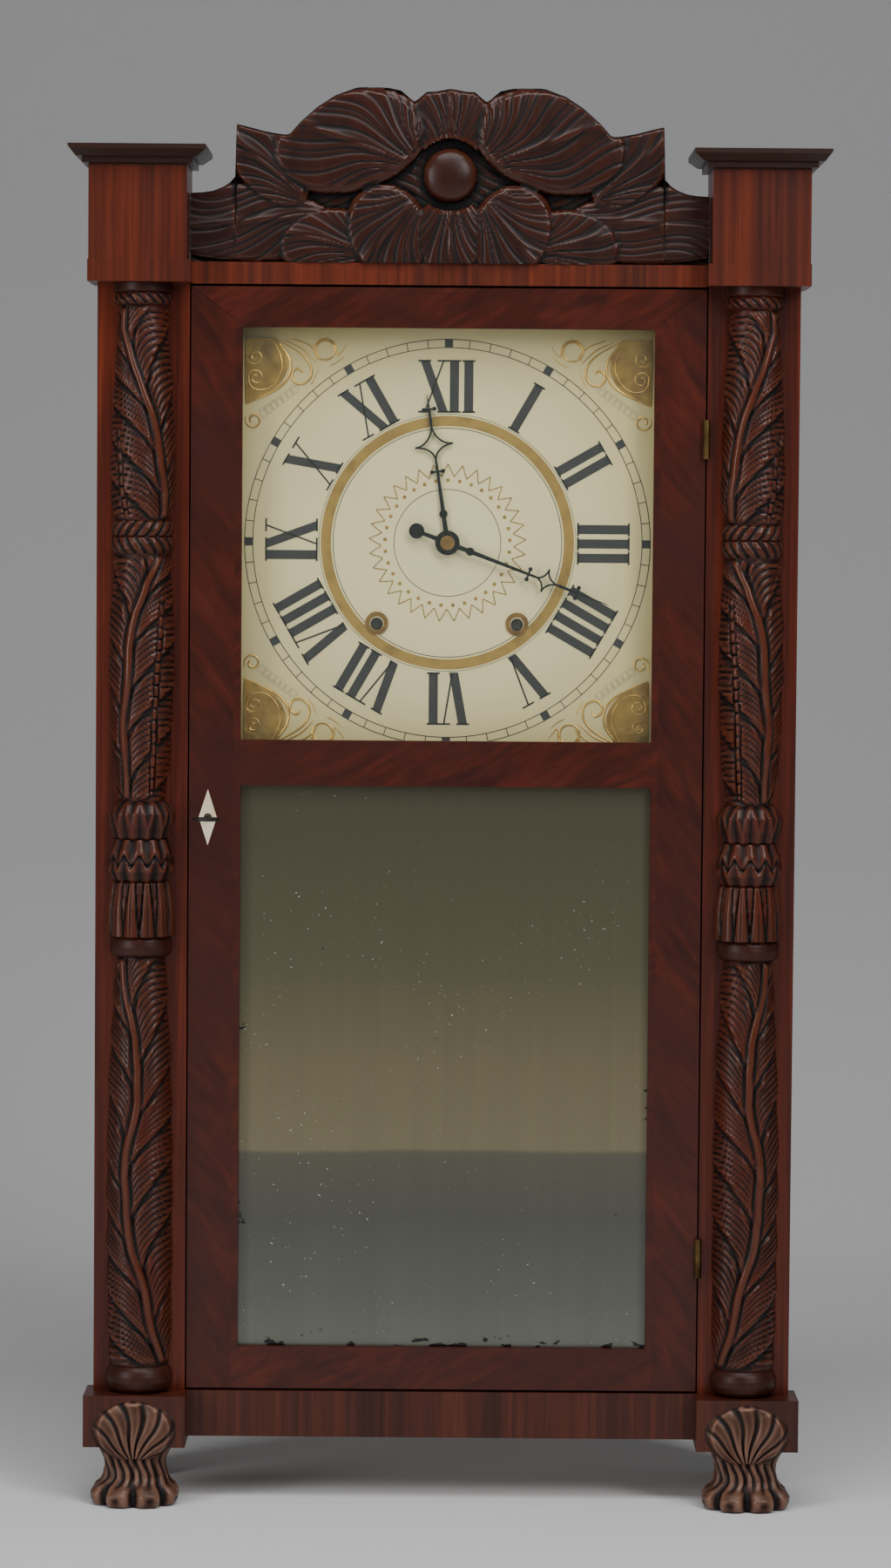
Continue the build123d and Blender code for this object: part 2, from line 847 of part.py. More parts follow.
# Lock: a box let into the back of the left stile, with its bolt above the keyhole
lock_left, lock_right = lock_x - lock_case_half, lock_x + lock_case_half
lock_pocket_y = bolt_y[0] - lock_clearance
bolt_left = -door_half + bolt_setback
escutcheon_corners = [
    (lock_x - escutcheon_width / 2, lock_height),
    (lock_x, lock_height - escutcheon_height / 2),
    (lock_x + escutcheon_width / 2, lock_height),
    (lock_x, lock_height + escutcheon_height / 2),
]
escutcheon_y = span(front_y - escutcheon_proud, escutcheon_thickness)

with BuildPart() as door_stile_left:
    block((-door_half, -rabbet_half), (front_y, door_back_y), (door_bottom, door_top))
    block((-rabbet_half, -light_half), (front_y, lip_back_y), (door_bottom, door_top))
    plate(escutcheon_corners, escutcheon_y, mode=Mode.SUBTRACT)
    block(
        (lock_left, lock_right),
        (lock_pocket_y, door_back_y),
        (lock_height - lock_case_height / 2, lock_height + lock_case_height / 2),
        mode=Mode.SUBTRACT,
    )
    block(
        (-door_half - cut_margin, lock_left),
        beyond(bolt_y, lock_clearance),
        beyond(bolt_z, lock_clearance),
        mode=Mode.SUBTRACT,
    )
    bearing(lock_x, lock_height, key_hole_radius, (front_y, lock_pocket_y))
save(door_stile_left, "door_stile_left")

with BuildPart() as key_escutcheon:
    plate(escutcheon_corners, escutcheon_y)
    bearing(lock_x, lock_height, key_hole_radius, escutcheon_y)
save(key_escutcheon, "key_escutcheon")

lock_plate_y = bolt_y[1] + lock_clearance
with BuildPart() as door_lock:
    block(
        (lock_left, lock_right),
        (lock_plate_y, door_back_y),
        (lock_height - lock_case_height / 2, lock_height + lock_case_height / 2),
    )
    block(
        (lock_left, lock_right),
        (lock_pocket_y, lock_plate_y),
        (bolt_z[1] + lock_clearance, lock_height + lock_case_height / 2),
    )
    block(
        (lock_left, lock_right),
        (lock_pocket_y, lock_plate_y),
        (lock_height - lock_case_height / 2, lock_height - key_bit_reach - 2 * lock_clearance),
    )
save(door_lock, "door_lock")

with BuildPart() as lock_bolt:
    block((bolt_left, bolt_left + bolt_length), bolt_y, bolt_z)
save(lock_bolt, "lock_bolt")

key_tip_y = bolt_y[1] - lock_clearance
with BuildPart() as key:
    rod(lock_x, lock_height, key_shaft_radius, (front_y - key_reach, key_tip_y))
    block(
        (lock_x - key_bit_thickness / 2, lock_x + key_bit_thickness / 2),
        (bolt_y[0], key_tip_y),
        (lock_height - key_bit_reach, lock_height),
    )
    with BuildSketch(Plane.XY.offset(lock_height - key_bow_thickness / 2)):
        with Locations((lock_x, front_y - key_reach - key_bow_width / 2 + key_bow_band)):
            RegularPolygon(key_bow_width / 2, small_sides)
            RegularPolygon(key_bow_width / 2 - key_bow_band, small_sides, mode=Mode.SUBTRACT)
    extrude(amount=key_bow_thickness)
save(key, "key")

# Panes: glass above, mirror and its thin backing board below
pane_half = rabbet_half - pane_clearance
for name, y, low, high in (
    ("door_glass", (lip_back_y, lip_back_y + glass_thickness), upper_light_bottom, upper_light_top),
    ("door_mirror", (lip_back_y, lip_back_y + mirror_thickness), lower_light_bottom, lower_light_top),
    (
        "mirror_backboard",
        (lip_back_y + mirror_thickness, lip_back_y + mirror_thickness + mirror_back_thickness),
        lower_light_bottom,
        lower_light_top,
    ),
):
    edge = rabbet_width - pane_clearance
    save_board(name, (-pane_half, pane_half), y, (low - edge, high + edge))


def post(x, y, radius, z, hole=0.0):
    """A faceted upright pin or knuckle inside the open part, with a hole where one is given."""
    with BuildSketch(Plane.XY.offset(z[0])) as round_face:
        with Locations((x, y)):
            RegularPolygon(radius, small_sides)
            if hole:
                RegularPolygon(hole, small_sides, major_radius=False, mode=Mode.SUBTRACT)
    extrude(round_face.sketch, amount=z[1] - z[0])


# Hinges: the case carries the outer knuckles and the pin, the door the middle one
knuckle = hinge_height / 3
leaf_y = (hinge_y, front_y + hinge_leaf_depth)
with BuildPart() as case_hinge_leaves:
    for level in hinge_levels:
        low, high = level - hinge_height / 2, level + hinge_height / 2
        post(hinge_x, hinge_y, hinge_pin_radius, (low, high))
        for end in ((low, low + knuckle), (high - knuckle, high)):
            post(hinge_x, hinge_y, hinge_radius, end)
            block((hinge_x + leaf_gap, hinge_x + leaf_gap + hinge_leaf), leaf_y, end)
        flat = (front_y, front_y + hinge_leaf_depth)
        block((hinge_x + leaf_gap, hinge_x + leaf_gap + hinge_leaf), flat, (low, high))
save(case_hinge_leaves, "case_hinge_leaves")

with BuildPart() as door_hinge_leaves:
    for level in hinge_levels:
        low, high = level - hinge_height / 2, level + hinge_height / 2
        middle = (low + knuckle + leaf_gap, high - knuckle - leaf_gap)
        block((hinge_x - leaf_gap - hinge_leaf, hinge_x - leaf_gap), leaf_y, middle)
        flat = (front_y, front_y + hinge_leaf_depth)
        block((hinge_x - leaf_gap - hinge_leaf, hinge_x - leaf_gap), flat, (low, high))
        post(hinge_x, hinge_y, hinge_radius, middle)
        with BuildSketch(Plane.XY.offset(middle[0])) as pin_hole:
            with Locations((hinge_x, hinge_y)):
                RegularPolygon(
                    hinge_pin_radius + running_clearance, small_sides, major_radius=False
                )
        extrude(pin_hole.sketch, amount=middle[1] - middle[0], mode=Mode.SUBTRACT)
save(door_hinge_leaves, "door_hinge_leaves")

# Places of the arbors in the front view, each worked out from its gear's pitch radii
great_distance = hypot(winding_spread, winding_drop)
great_module = 2 * great_distance / (great_teeth + great_pinion)
time_x, drum_z = winding_spread, dial_z - winding_drop
strike_x = -winding_spread
third_x, third_z = polar(
    0, dial_z, centre_module * (train_teeth + train_pinion) / 2, third_arbor_heading
)
escape_x, escape_z = polar(
    third_x, third_z, third_module * (train_teeth + train_pinion) / 2, escape_arbor_heading
)
verge_x, verge_z = escape_x, escape_z + verge_rise
minute_distance = minute_module * (cannon_teeth + minute_wheel_teeth) / 2
hour_module = 2 * minute_distance / (minute_pinion_teeth + hour_wheel_teeth)
minute_x, minute_z = polar(0, dial_z, minute_distance, minute_arbor_heading)
pin_x, pin_z = polar(strike_x, drum_z, great_distance, strike_arbor_heading)
fly_x, fly_z = polar(
    pin_x, pin_z, pin_wheel_module * (pin_wheel_teeth + fly_pinion) / 2, fly_arbor_heading
)
hammer_x, hammer_z = hammer_arbor_x, dial_z + hammer_arbor_z
bell_z = dial_z - bell_drop
plate_arbors = (
    (0, dial_z, arbor_radius),
    (time_x, drum_z, winding_arbor_radius),
    (third_x, third_z, arbor_radius),
    (escape_x, escape_z, arbor_radius),
    (strike_x, drum_z, winding_arbor_radius),
    (pin_x, pin_z, arbor_radius),
    (fly_x, fly_z, arbor_radius),
    (hammer_x, hammer_z, arbor_radius),
)
arbor_span = (gap_front_y - pivot_depth, gap_back_y + pivot_depth)

# Dial board with its winding holes and centre hole
with BuildPart() as dial_board:
    block(
        (-dial_half_width, dial_half_width),
        (dial_front_y, dial_back_y),
        (dial_z - dial_half_height, dial_z + dial_half_height),
    )
    bearing(0, dial_z, hour_pipe_radius + dial_hole_clearance, (dial_front_y, dial_back_y))
    for x in (strike_x, time_x):
        bearing(x, drum_z, winding_hole_radius, (dial_front_y, dial_back_y))
save(dial_board, "dial_board")

# Movement frame: two wooden plates, held apart by pillars, on rails behind
for name, y in (
    ("movement_front_plate", (plate_front_y, gap_front_y)),
    ("movement_back_plate", (gap_back_y, plate_back_y)),
):
    with BuildPart() as movement_plate:
        block(
            (-plate_half_width, plate_half_width),
            y,
            (dial_z - plate_fall, dial_z + plate_rise),
        )
        for x, z, radius in plate_arbors:
            bearing(x, z, radius, y)
        if name == "movement_front_plate":
            bar(minute_x, minute_z, stud_radius, (motion_y[0], y[0]))
            bar(verge_x, verge_z, verge_pin_radius, (verge_pin_y, y[0]))
    save(movement_plate, name)

with BuildPart() as movement_pillars:
    for sign in (-1, 1):
        for x, z in ((upper_pillar_x, upper_pillar_z), (lower_pillar_x, -lower_pillar_z)):
            bar(sign * x, dial_z + z, pillar_radius, (gap_front_y, gap_back_y))
save(movement_pillars, "movement_pillars")

# Going train, from the great wheel to the escape wheel in front of the plates
heading_out = degrees(atan2(dial_z - drum_z, 0 - time_x))
with BuildPart() as time_great_wheel:
    gear(time_x, drum_z, great_teeth, great_module, time_great_y, heading_out)
    bearing(time_x, drum_z, winding_arbor_radius, time_great_y)
save(time_great_wheel, "time_great_wheel")

drum_spots = (
    ("time_drum", time_x, drum_radius, time_drum_y),
    ("strike_drum", strike_x, strike_drum_radius, strike_drum_y),
)
for name, x, radius, y in drum_spots:
    with BuildPart() as drum:
        bar(x, drum_z, winding_arbor_radius, (winding_square_y, gap_back_y + pivot_depth))
        disc(x, drum_z, radius, y)
    save(drum, name)

with BuildPart() as centre_wheel:
    bar(0, dial_z, arbor_radius, (gap_front_y - pivot_depth, arbor_span[1]))
    gear(0, dial_z, great_pinion, great_module, centre_pinion_y, heading_out + 180 + 180 / great_pinion)
    gear(0, dial_z, train_teeth, centre_module, centre_wheel_y, third_arbor_heading)
save(centre_wheel, "centre_wheel")

with BuildPart() as third_wheel:
    bar(third_x, third_z, arbor_radius, arbor_span)
    back_heading = third_arbor_heading + 180 + 180 / train_pinion
    gear(third_x, third_z, train_pinion, centre_module, third_pinion_y, back_heading)
    gear(third_x, third_z, train_teeth, third_module, third_wheel_y, escape_arbor_heading)
save(third_wheel, "third_wheel")

with BuildPart() as escape_wheel:
    bar(escape_x, escape_z, arbor_radius, (escape_y[0], arbor_span[1]))
    back_heading = escape_arbor_heading + 180 + 180 / train_pinion
    gear(escape_x, escape_z, train_pinion, third_module, escape_pinion_y, back_heading)
    saw = []
    for tooth in range(escape_teeth):
        heading = tooth * 360 / escape_teeth
        saw.append(polar(escape_x, escape_z, escape_radius - saw_depth, heading))
        saw.append(polar(escape_x, escape_z, escape_radius, heading + saw_lean))
    plate(saw, escape_y)
save(escape_wheel, "escape_wheel")

# Verge with its crutch, and the pendulum, both on one pin
with BuildPart() as verge:
    half = verge_span / 2
    plate(
        (
            (verge_x - half, verge_z - pallet_drop),
            (verge_x - half + pallet_width, verge_z - pallet_drop),
            (verge_x - verge_waist, verge_z - verge_hub),
            (verge_x + verge_waist, verge_z - verge_hub),
            (verge_x + half - pallet_width, verge_z - pallet_drop),
            (verge_x + half, verge_z - pallet_drop),
            (verge_x + verge_waist, verge_z + verge_hub),
            (verge_x - verge_waist, verge_z + verge_hub),
        ),
        escape_y,
    )
    bar(verge_x, verge_z, verge_hub, (crutch_y[0], escape_y[1]))
    block(
        (verge_x - rod_radius, verge_x + rod_radius),
        crutch_y,
        (verge_z - crutch_length, verge_z),
    )
    fork = rod_radius + fork_clearance
    fork_y = (rod_y - rod_radius - fork_clearance, crutch_y[0])
    for sign in (-1, 1):
        prong = sorted((verge_x + sign * fork, verge_x + sign * (fork + rod_radius)))
        block(prong, fork_y, (verge_z - crutch_length, verge_z - crutch_length + fork_height))
    block(
        (verge_x - fork - rod_radius, verge_x + fork + rod_radius),
        crutch_y,
        (verge_z - crutch_length, verge_z - crutch_length + fork_height),
    )
    bearing(verge_x, verge_z, verge_pin_radius, (crutch_y[0], escape_y[1]))
save(verge, "verge")

bob_z = verge_z - pendulum_length
with BuildPart() as pendulum:
    rod_span = (rod_y - rod_radius, rod_y + rod_radius)
    disc(verge_x, bob_z, bob_radius, (rod_y - bob_thickness / 2, rod_y + bob_thickness / 2))
    faces = pendulum.faces().filter_by(Axis.Y)
    chamfer(faces.edges(), bob_thickness * bob_edge, bob_radius * bob_dome)
    bar(verge_x, verge_z, verge_hub, (rod_y - rod_eye, rod_y + rod_eye))
    block((verge_x - rod_radius, verge_x + rod_radius), rod_span, (bob_z, verge_z))
    bearing(verge_x, verge_z, verge_pin_radius, (rod_y - rod_eye, rod_y + rod_eye))
save(pendulum, "pendulum")

# Motion work behind the dial, and the hands in front of it
with BuildPart() as minute_wheel:
    back = minute_arbor_heading + 180
    wheel_heading = back + 180 / minute_wheel_teeth
    gear(minute_x, minute_z, minute_wheel_teeth, minute_module, minute_wheel_y, wheel_heading)
    leaf_heading = back + 180 / minute_pinion_teeth
    gear(minute_x, minute_z, minute_pinion_teeth, hour_module, minute_pinion_y, leaf_heading)
    bearing(minute_x, minute_z, stud_radius, (minute_pinion_y[0], minute_wheel_y[1]))
save(minute_wheel, "minute_wheel")


def hand_plate(heading, y, outline, tail):
    """A pierced hand inside the open part: its outline is (distance, half width) pairs."""
    turn = 90 - heading
    along = (cos(radians(turn)), sin(radians(turn)))
    across = (-along[1], along[0])

    def place(distance, side):
        return (
            distance * along[0] + side * across[0],
            dial_z + distance * along[1] + side * across[1],
        )

    plate(
        [place(-tail, -hand_waist)]
        + [place(distance, -width) for distance, width in outline]
        + [place(distance, width) for distance, width in reversed(outline)]
        + [place(-tail, hand_waist)],
        y,
    )
    (start, _), (middle, widest), (end, _) = outline[1:4]
    inset = widest - diamond_rim
    for sign in (-1, 1):
        plate(
            [
                place(start + diamond_rim, sign * hand_waist / 2),
                place(middle, sign * inset),
                place(end - diamond_rim, sign * hand_waist / 2),
            ],
            y,
            mode=Mode.SUBTRACT,
        )


with BuildPart() as hour_hand:
    gear(0, dial_z, hour_wheel_teeth, hour_module, hour_wheel_y, minute_arbor_heading)
    bar(0, dial_z, hour_pipe_radius, (hour_hand_y[0], hour_wheel_y[1]))
    hand_plate(hour_hand_heading, hour_hand_y, hour_hand_outline, 0)
    bar(0, dial_z, hand_hub_radius, hour_hand_y)
    bearing(0, dial_z, minute_arbor_radius + pipe_clearance, (hour_hand_y[0], hour_wheel_y[1]))
save(hour_hand, "hour_hand")

with BuildPart() as minute_hand:
    gear(0, dial_z, cannon_teeth, minute_module, cannon_y, minute_arbor_heading)
    bar(0, dial_z, minute_arbor_radius, (minute_hand_y[0] - hub_proud, cannon_y[1]))
    bar(0, dial_z, arbor_radius, (cannon_y[1], plate_front_y + cannon_pivot))
    hand_plate(minute_hand_heading, minute_hand_y, minute_hand_outline, minute_tail)
    bar(0, dial_z, hand_hub_radius, minute_hand_y)
    tail_x, tail_z = polar(0, dial_z, -minute_tail, 90 - minute_hand_heading)
    bar(tail_x, tail_z, tail_radius, minute_hand_y)
save(minute_hand, "minute_hand")

# Strike train with the count notches behind its great wheel
strike_heading = strike_arbor_heading
with BuildPart() as strike_great_wheel:
    gear(strike_x, drum_z, great_teeth, great_module, strike_great_y, strike_heading)
    blows = strike_hours * (strike_hours + 1) // 2
    notches = []
    blow = 0
    for hour in range(1, strike_hours + 1):
        for radius, place in (
            (count_radius - count_depth, blow - count_slot),
            (count_radius - count_depth, blow + count_slot),
            (count_radius, blow + count_slot),
            (count_radius, blow + hour / 2),
            (count_radius, blow + hour - count_slot),
        ):
            notches.append(polar(strike_x, drum_z, radius, place * 360 / blows))
        blow += hour
    plate(notches, count_y)
    bearing(strike_x, drum_z, winding_arbor_radius, (strike_great_y[0], count_y[1]))
save(strike_great_wheel, "strike_great_wheel")

with BuildPart() as pin_wheel:
    bar(pin_x, pin_z, arbor_radius, arbor_span)
    back_heading = strike_heading + 180 + 180 / great_pinion
    gear(pin_x, pin_z, great_pinion, great_module, pin_pinion_y, back_heading)
    gear(pin_x, pin_z, pin_wheel_teeth, pin_wheel_module, pin_wheel_y, fly_arbor_heading)
    with BuildSketch(facing(pins_y[1])) as lifting_pins:
        with Locations((pin_x, pin_z)):
            with PolarLocations(pin_circle, strike_pins):
                Rectangle(pin_size, pin_size)
    extrude(lifting_pins.sketch, amount=pins_y[1] - pins_y[0])
save(pin_wheel, "pin_wheel")

with BuildPart() as fly:
    bar(fly_x, fly_z, arbor_radius, arbor_span)
    back_heading = fly_arbor_heading + 180 + 180 / fly_pinion
    gear(fly_x, fly_z, fly_pinion, pin_wheel_module, fly_pinion_y, back_heading)
    block(
        (fly_x - fan_radius, fly_x + fan_radius),
        fan_y,
        (fly_z - fan_thickness / 2, fly_z + fan_thickness / 2),
    )
save(fly, "fly")

# Bell on its post, and the hammer that swings beside it
with BuildPart() as bell:
    disc(bell_x, bell_z, bell_radius, bell_y)
    crown = bell.faces().sort_by(Axis.Y)[0]
    chamfer(crown.edges(), bell_depth * bell_round, bell_radius * bell_round)
    hollow = (bell_y[0] + bell_crown, bell_y[1])
    disc(bell_x, bell_z, bell_radius - bell_wall, hollow, mode=Mode.SUBTRACT)
    bar(bell_x, bell_z, bell_post_radius, (bell_y[0] - bell_nut, inner_back_y))
save(bell, "bell")

head_x = bell_x - bell_radius - hammer_gap - hammer_head / 2
with BuildPart() as hammer:
    bar(hammer_x, hammer_z, arbor_radius, arbor_span)
    bar(hammer_x, hammer_z, hammer_hub, hammer_y)
    plate(
        (
            (hammer_x - wire_half, hammer_z),
            (head_x - wire_half, bell_z),
            (head_x + wire_half, bell_z),
            (hammer_x + wire_half, hammer_z),
        ),
        beyond(hammer_y, -wire_inset),
    )
    block(
        (head_x - hammer_head / 2, head_x + hammer_head / 2),
        beyond(hammer_y, hammer_head_proud),
        (bell_z - hammer_head / 2, bell_z + hammer_head / 2),
    )
    tail_heading = degrees(atan2(pin_z - hammer_z, pin_x - hammer_x))
    reach = hypot(pin_x - hammer_x, pin_z - hammer_z) - pin_circle - pin_size - hammer_tail_gap
    plate(
        (
            polar(hammer_x, hammer_z, arbor_radius, tail_heading + hammer_tail_spread),
            polar(hammer_x, hammer_z, arbor_radius, tail_heading - hammer_tail_spread),
            polar(hammer_x, hammer_z, reach, tail_heading - hammer_tail_tip),
            polar(hammer_x, hammer_z, reach, tail_heading + hammer_tail_tip),
        ),
        hammer_y,
    )
save(hammer, "hammer")

# Pulleys, weights and their cords
for name, sign, cord_y, drum_x, turn_radius in (
    ("time", 1, time_cord_y, time_x, drum_radius),
    ("strike", -1, strike_cord_y, -strike_x, strike_drum_radius),
):
    wheel_y = (cord_y - pulley_width / 2, cord_y + pulley_width / 2)
    with BuildPart() as pulley:
        for radius, y in (
            (pulley_radius, (wheel_y[0], wheel_y[0] + flange_width)),
            (pulley_radius - groove_depth, wheel_y),
            (pulley_radius, (wheel_y[1] - flange_width, wheel_y[1])),
        ):
            disc(sign * pulley_x, pulley_z, radius, y)
        bearing(sign * pulley_x, pulley_z, pulley_pin_radius, wheel_y)
    save(pulley, f"{name}_pulley")

    weight_bottom = floor_top + weight_rest
    weight_top = weight_bottom + weight_height
    with BuildPart() as weight:
        with BuildSketch(Plane.XY.offset(weight_bottom)):
            with Locations((sign * weight_x, cord_y)):
                RegularPolygon(weight_radius, disc_sides)
        extrude(amount=weight_height)
        post(sign * weight_x, cord_y, eye_radius, (weight_top, weight_top + eye_height))
    save(weight, f"{name}_weight")

    with BuildPart() as cord_fall:
        post(sign * weight_x, cord_y, cord_radius, (weight_top + eye_height, pulley_z))
    save(cord_fall, f"{name}_cord_fall")

    # The run crosses from below the drum's side to over the pulley
    layer = turn_radius + cord_radius + cord_clearance
    away_x, away_z = pulley_x - drum_x, pulley_z - drum_z
    away = hypot(away_x, away_z)
    normal = degrees(atan2(away_z, away_x)) - degrees(acos((layer + wrap_radius) / away))
    with BuildPart() as cord_run:
        with BuildLine() as route:
            leave_x, leave_z = polar(drum_x, drum_z, layer, normal)
            meet_x, meet_z = polar(pulley_x, pulley_z, -wrap_radius, normal)
            over_x, over_z = polar(pulley_x, pulley_z, wrap_radius, (180 + normal) / 2)
            run = Line((sign * leave_x, cord_y, leave_z), (sign * meet_x, cord_y, meet_z))
            ThreePointArc(
                run @ 1,
                (sign * over_x, cord_y, over_z),
                (sign * weight_x, cord_y, pulley_z),
            )
        with BuildSketch(Plane(origin=run @ 0, z_dir=run % 0)):
            RegularPolygon(cord_radius, cord_sides)
        sweep()
    save(cord_run, f"{name}_cord_run")
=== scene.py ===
"""Carved column and splat shelf clock, dressed for Blender 4.5 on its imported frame.

Everything is in metres in the frame of the part: +Z up, the front faces -Y.
"""

import json
import logging
from dataclasses import dataclass, field
from enum import Enum
from math import acos, atan2, cos, hypot, pi, radians, sin

import bpy
import numpy as np
from mathutils import Matrix, Vector

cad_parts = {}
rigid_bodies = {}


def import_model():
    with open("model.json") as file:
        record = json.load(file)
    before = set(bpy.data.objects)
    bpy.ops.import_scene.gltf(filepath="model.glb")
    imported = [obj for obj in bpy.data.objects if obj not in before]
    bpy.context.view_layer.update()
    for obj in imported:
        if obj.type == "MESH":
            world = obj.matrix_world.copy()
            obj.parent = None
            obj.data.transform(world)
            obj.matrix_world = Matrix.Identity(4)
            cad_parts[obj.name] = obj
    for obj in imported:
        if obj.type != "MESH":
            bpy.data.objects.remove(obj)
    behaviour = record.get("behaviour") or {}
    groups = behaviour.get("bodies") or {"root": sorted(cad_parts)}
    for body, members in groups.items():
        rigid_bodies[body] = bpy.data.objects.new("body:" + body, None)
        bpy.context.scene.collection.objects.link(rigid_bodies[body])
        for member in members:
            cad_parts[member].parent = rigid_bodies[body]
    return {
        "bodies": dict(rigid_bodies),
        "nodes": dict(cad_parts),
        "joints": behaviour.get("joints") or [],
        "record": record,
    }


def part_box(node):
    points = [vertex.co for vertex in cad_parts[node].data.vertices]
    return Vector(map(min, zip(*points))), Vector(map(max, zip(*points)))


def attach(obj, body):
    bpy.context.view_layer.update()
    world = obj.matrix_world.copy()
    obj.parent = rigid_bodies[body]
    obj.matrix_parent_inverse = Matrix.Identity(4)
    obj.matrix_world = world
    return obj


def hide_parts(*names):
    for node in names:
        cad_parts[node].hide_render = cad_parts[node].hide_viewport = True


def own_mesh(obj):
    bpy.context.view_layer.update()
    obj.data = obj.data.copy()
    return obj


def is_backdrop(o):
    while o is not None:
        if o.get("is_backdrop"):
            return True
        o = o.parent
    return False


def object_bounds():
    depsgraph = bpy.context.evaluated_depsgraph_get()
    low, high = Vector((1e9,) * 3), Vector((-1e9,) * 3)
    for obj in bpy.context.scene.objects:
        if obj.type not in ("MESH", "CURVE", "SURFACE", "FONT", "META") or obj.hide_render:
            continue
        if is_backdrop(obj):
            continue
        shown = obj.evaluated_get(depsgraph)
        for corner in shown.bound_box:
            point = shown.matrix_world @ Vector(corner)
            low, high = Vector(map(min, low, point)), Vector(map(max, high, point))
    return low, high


log = logging.getLogger("shelf_clock")
MM = 0.001
Colour = tuple[float, float, float]
Point = tuple[float, float]


def rgba(colour: Colour) -> tuple[float, float, float, float]:
    """A measured screen colour, 0 to 255, as the linear colour that a shader takes."""
    return (*((value / 255) ** 2.2 for value in colour), 1.0)


class Side(Enum):
    """The clock's left or right, as its sign along X."""

    LEFT = -1
    RIGHT = 1


class Grain(Enum):
    """How a board's figure lies: the stretch of its noise along X, Y and Z."""

    UPRIGHT = (95.0, 60.0, 5.0)
    LEVEL = (5.0, 60.0, 95.0)
    DEEP = (70.0, 6.0, 70.0)
    CARVED = (60.0, 60.0, 22.0)


class Shader:
    """A node material with short ways to add and join its nodes."""

    def __init__(self, name: str, **values: float | tuple[float, ...]) -> None:
        """Starts a material whose constant values are set on the shader's own sockets.

        Args:
            name: the material's name.
            values: socket names with spaces as underscores, and their constant values.
        """
        self.material = bpy.data.materials.new(name)
        self.material.use_nodes = True
        self.tree = self.material.node_tree
        self.surface = self.tree.nodes["Principled BSDF"]
        for socket, value in values.items():
            self.surface.inputs[socket.replace("_", " ")].default_value = value
        self.place = self.add("ShaderNodeTexCoord").outputs["Object"]

    def add(self, kind: str, inputs: dict | None = None, **settings: object) -> bpy.types.Node:
        """Adds a node.

        Args:
            kind: Blender's name of the node type.
            inputs: values or other nodes' outputs for its sockets, by name or number.
            settings: the node's own settings.

        Returns:
            The new node.
        """
        node = self.tree.nodes.new(kind)
        for key, value in settings.items():
            setattr(node, key, value)
        for key, value in (inputs or {}).items():
            if isinstance(value, bpy.types.NodeSocket):
                self.tree.links.new(value, node.inputs[key])
            else:
                node.inputs[key].default_value = value
        return node

    def stretch(self, scale: tuple[float, float, float], turn: float = 0.0) -> bpy.types.NodeSocket:
        """The piece's own coordinates, turned about the depth axis and then stretched."""
        turned = self.add("ShaderNodeMapping", {"Vector": self.place, "Rotation": (0, turn, 0)})
        return self.add(
            "ShaderNodeMapping", {"Vector": turned.outputs[0], "Scale": scale}
        ).outputs[0]

    def noise(
        self, at: bpy.types.NodeSocket, scale: float, detail: float = 4.0, warp: float = 0.0
    ) -> bpy.types.NodeSocket:
        """Noise from 0 to 1 at the given coordinates."""
        values = {"Vector": at, "Scale": scale, "Detail": detail, "Distortion": warp}
        return self.add("ShaderNodeTexNoise", values).outputs["Fac"]

    def ramp(self, factor: bpy.types.NodeSocket, stops: list[tuple[float, Colour]]) -> bpy.types.NodeSocket:
        """Colours by factor, from (place, screen colour) stops.

        Args:
            factor: what picks the colour.
            stops: (place, screen colour) pairs.

        Returns:
            The colour.
        """
        node = self.add("ShaderNodeValToRGB", {"Fac": factor})
        elements = node.color_ramp.elements
        while len(elements) < len(stops):
            elements.new(0.5)
        for element, (spot, colour) in zip(elements, stops):
            element.position = spot
            element.color = rgba(colour)
        return node.outputs["Color"]

    def gate(self, factor: bpy.types.NodeSocket, low: float, high: float) -> bpy.types.NodeSocket:
        """A factor cut off below low and full above high."""
        values = {"Value": factor, "From Min": low, "From Max": high}
        return self.add("ShaderNodeMapRange", values).outputs["Result"]

    def math(self, operation: str, first: object, second: object = 0.0) -> bpy.types.NodeSocket:
        """One sum on two sockets or numbers."""
        return self.add("ShaderNodeMath", {0: first, 1: second}, operation=operation).outputs[0]

    def blend(self, factor: object, first: object, second: object) -> bpy.types.NodeSocket:
        """Two colours mixed by a factor."""
        inputs = {0: factor, 6: first, 7: second}
        return self.add("ShaderNodeMix", inputs, data_type="RGBA").outputs[2]

    def times(self, first: object, second: object) -> bpy.types.NodeSocket:
        """The product of two sockets or numbers."""
        return self.math("MULTIPLY", first, second)

    def plus(self, first: object, second: object) -> bpy.types.NodeSocket:
        """The sum of two sockets or numbers."""
        return self.math("ADD", first, second)

    def minus(self, first: object, second: object) -> bpy.types.NodeSocket:
        """The difference of two sockets or numbers."""
        return self.math("SUBTRACT", first, second)

    def sheen(self, factor: bpy.types.NodeSocket, first: float, last: float) -> None:
        """Gives the surface a roughness that runs from first to last with a factor."""
        node = self.add("ShaderNodeMapRange", {"Value": factor, "To Min": first, "To Max": last})
        self.join(node.outputs["Result"], "Roughness")

    def relief(self, height: bpy.types.NodeSocket, depth: float) -> None:
        """Bumps the surface by a height pattern, depth in metres."""
        bump = self.add("ShaderNodeBump", {"Height": height, "Strength": 0.6, "Distance": depth})
        self.join(bump.outputs[0], "Normal")

    def join(self, output: bpy.types.NodeSocket, socket: str) -> None:
        """Links an output to the surface shader."""
        self.tree.links.new(output, self.surface.inputs[socket])


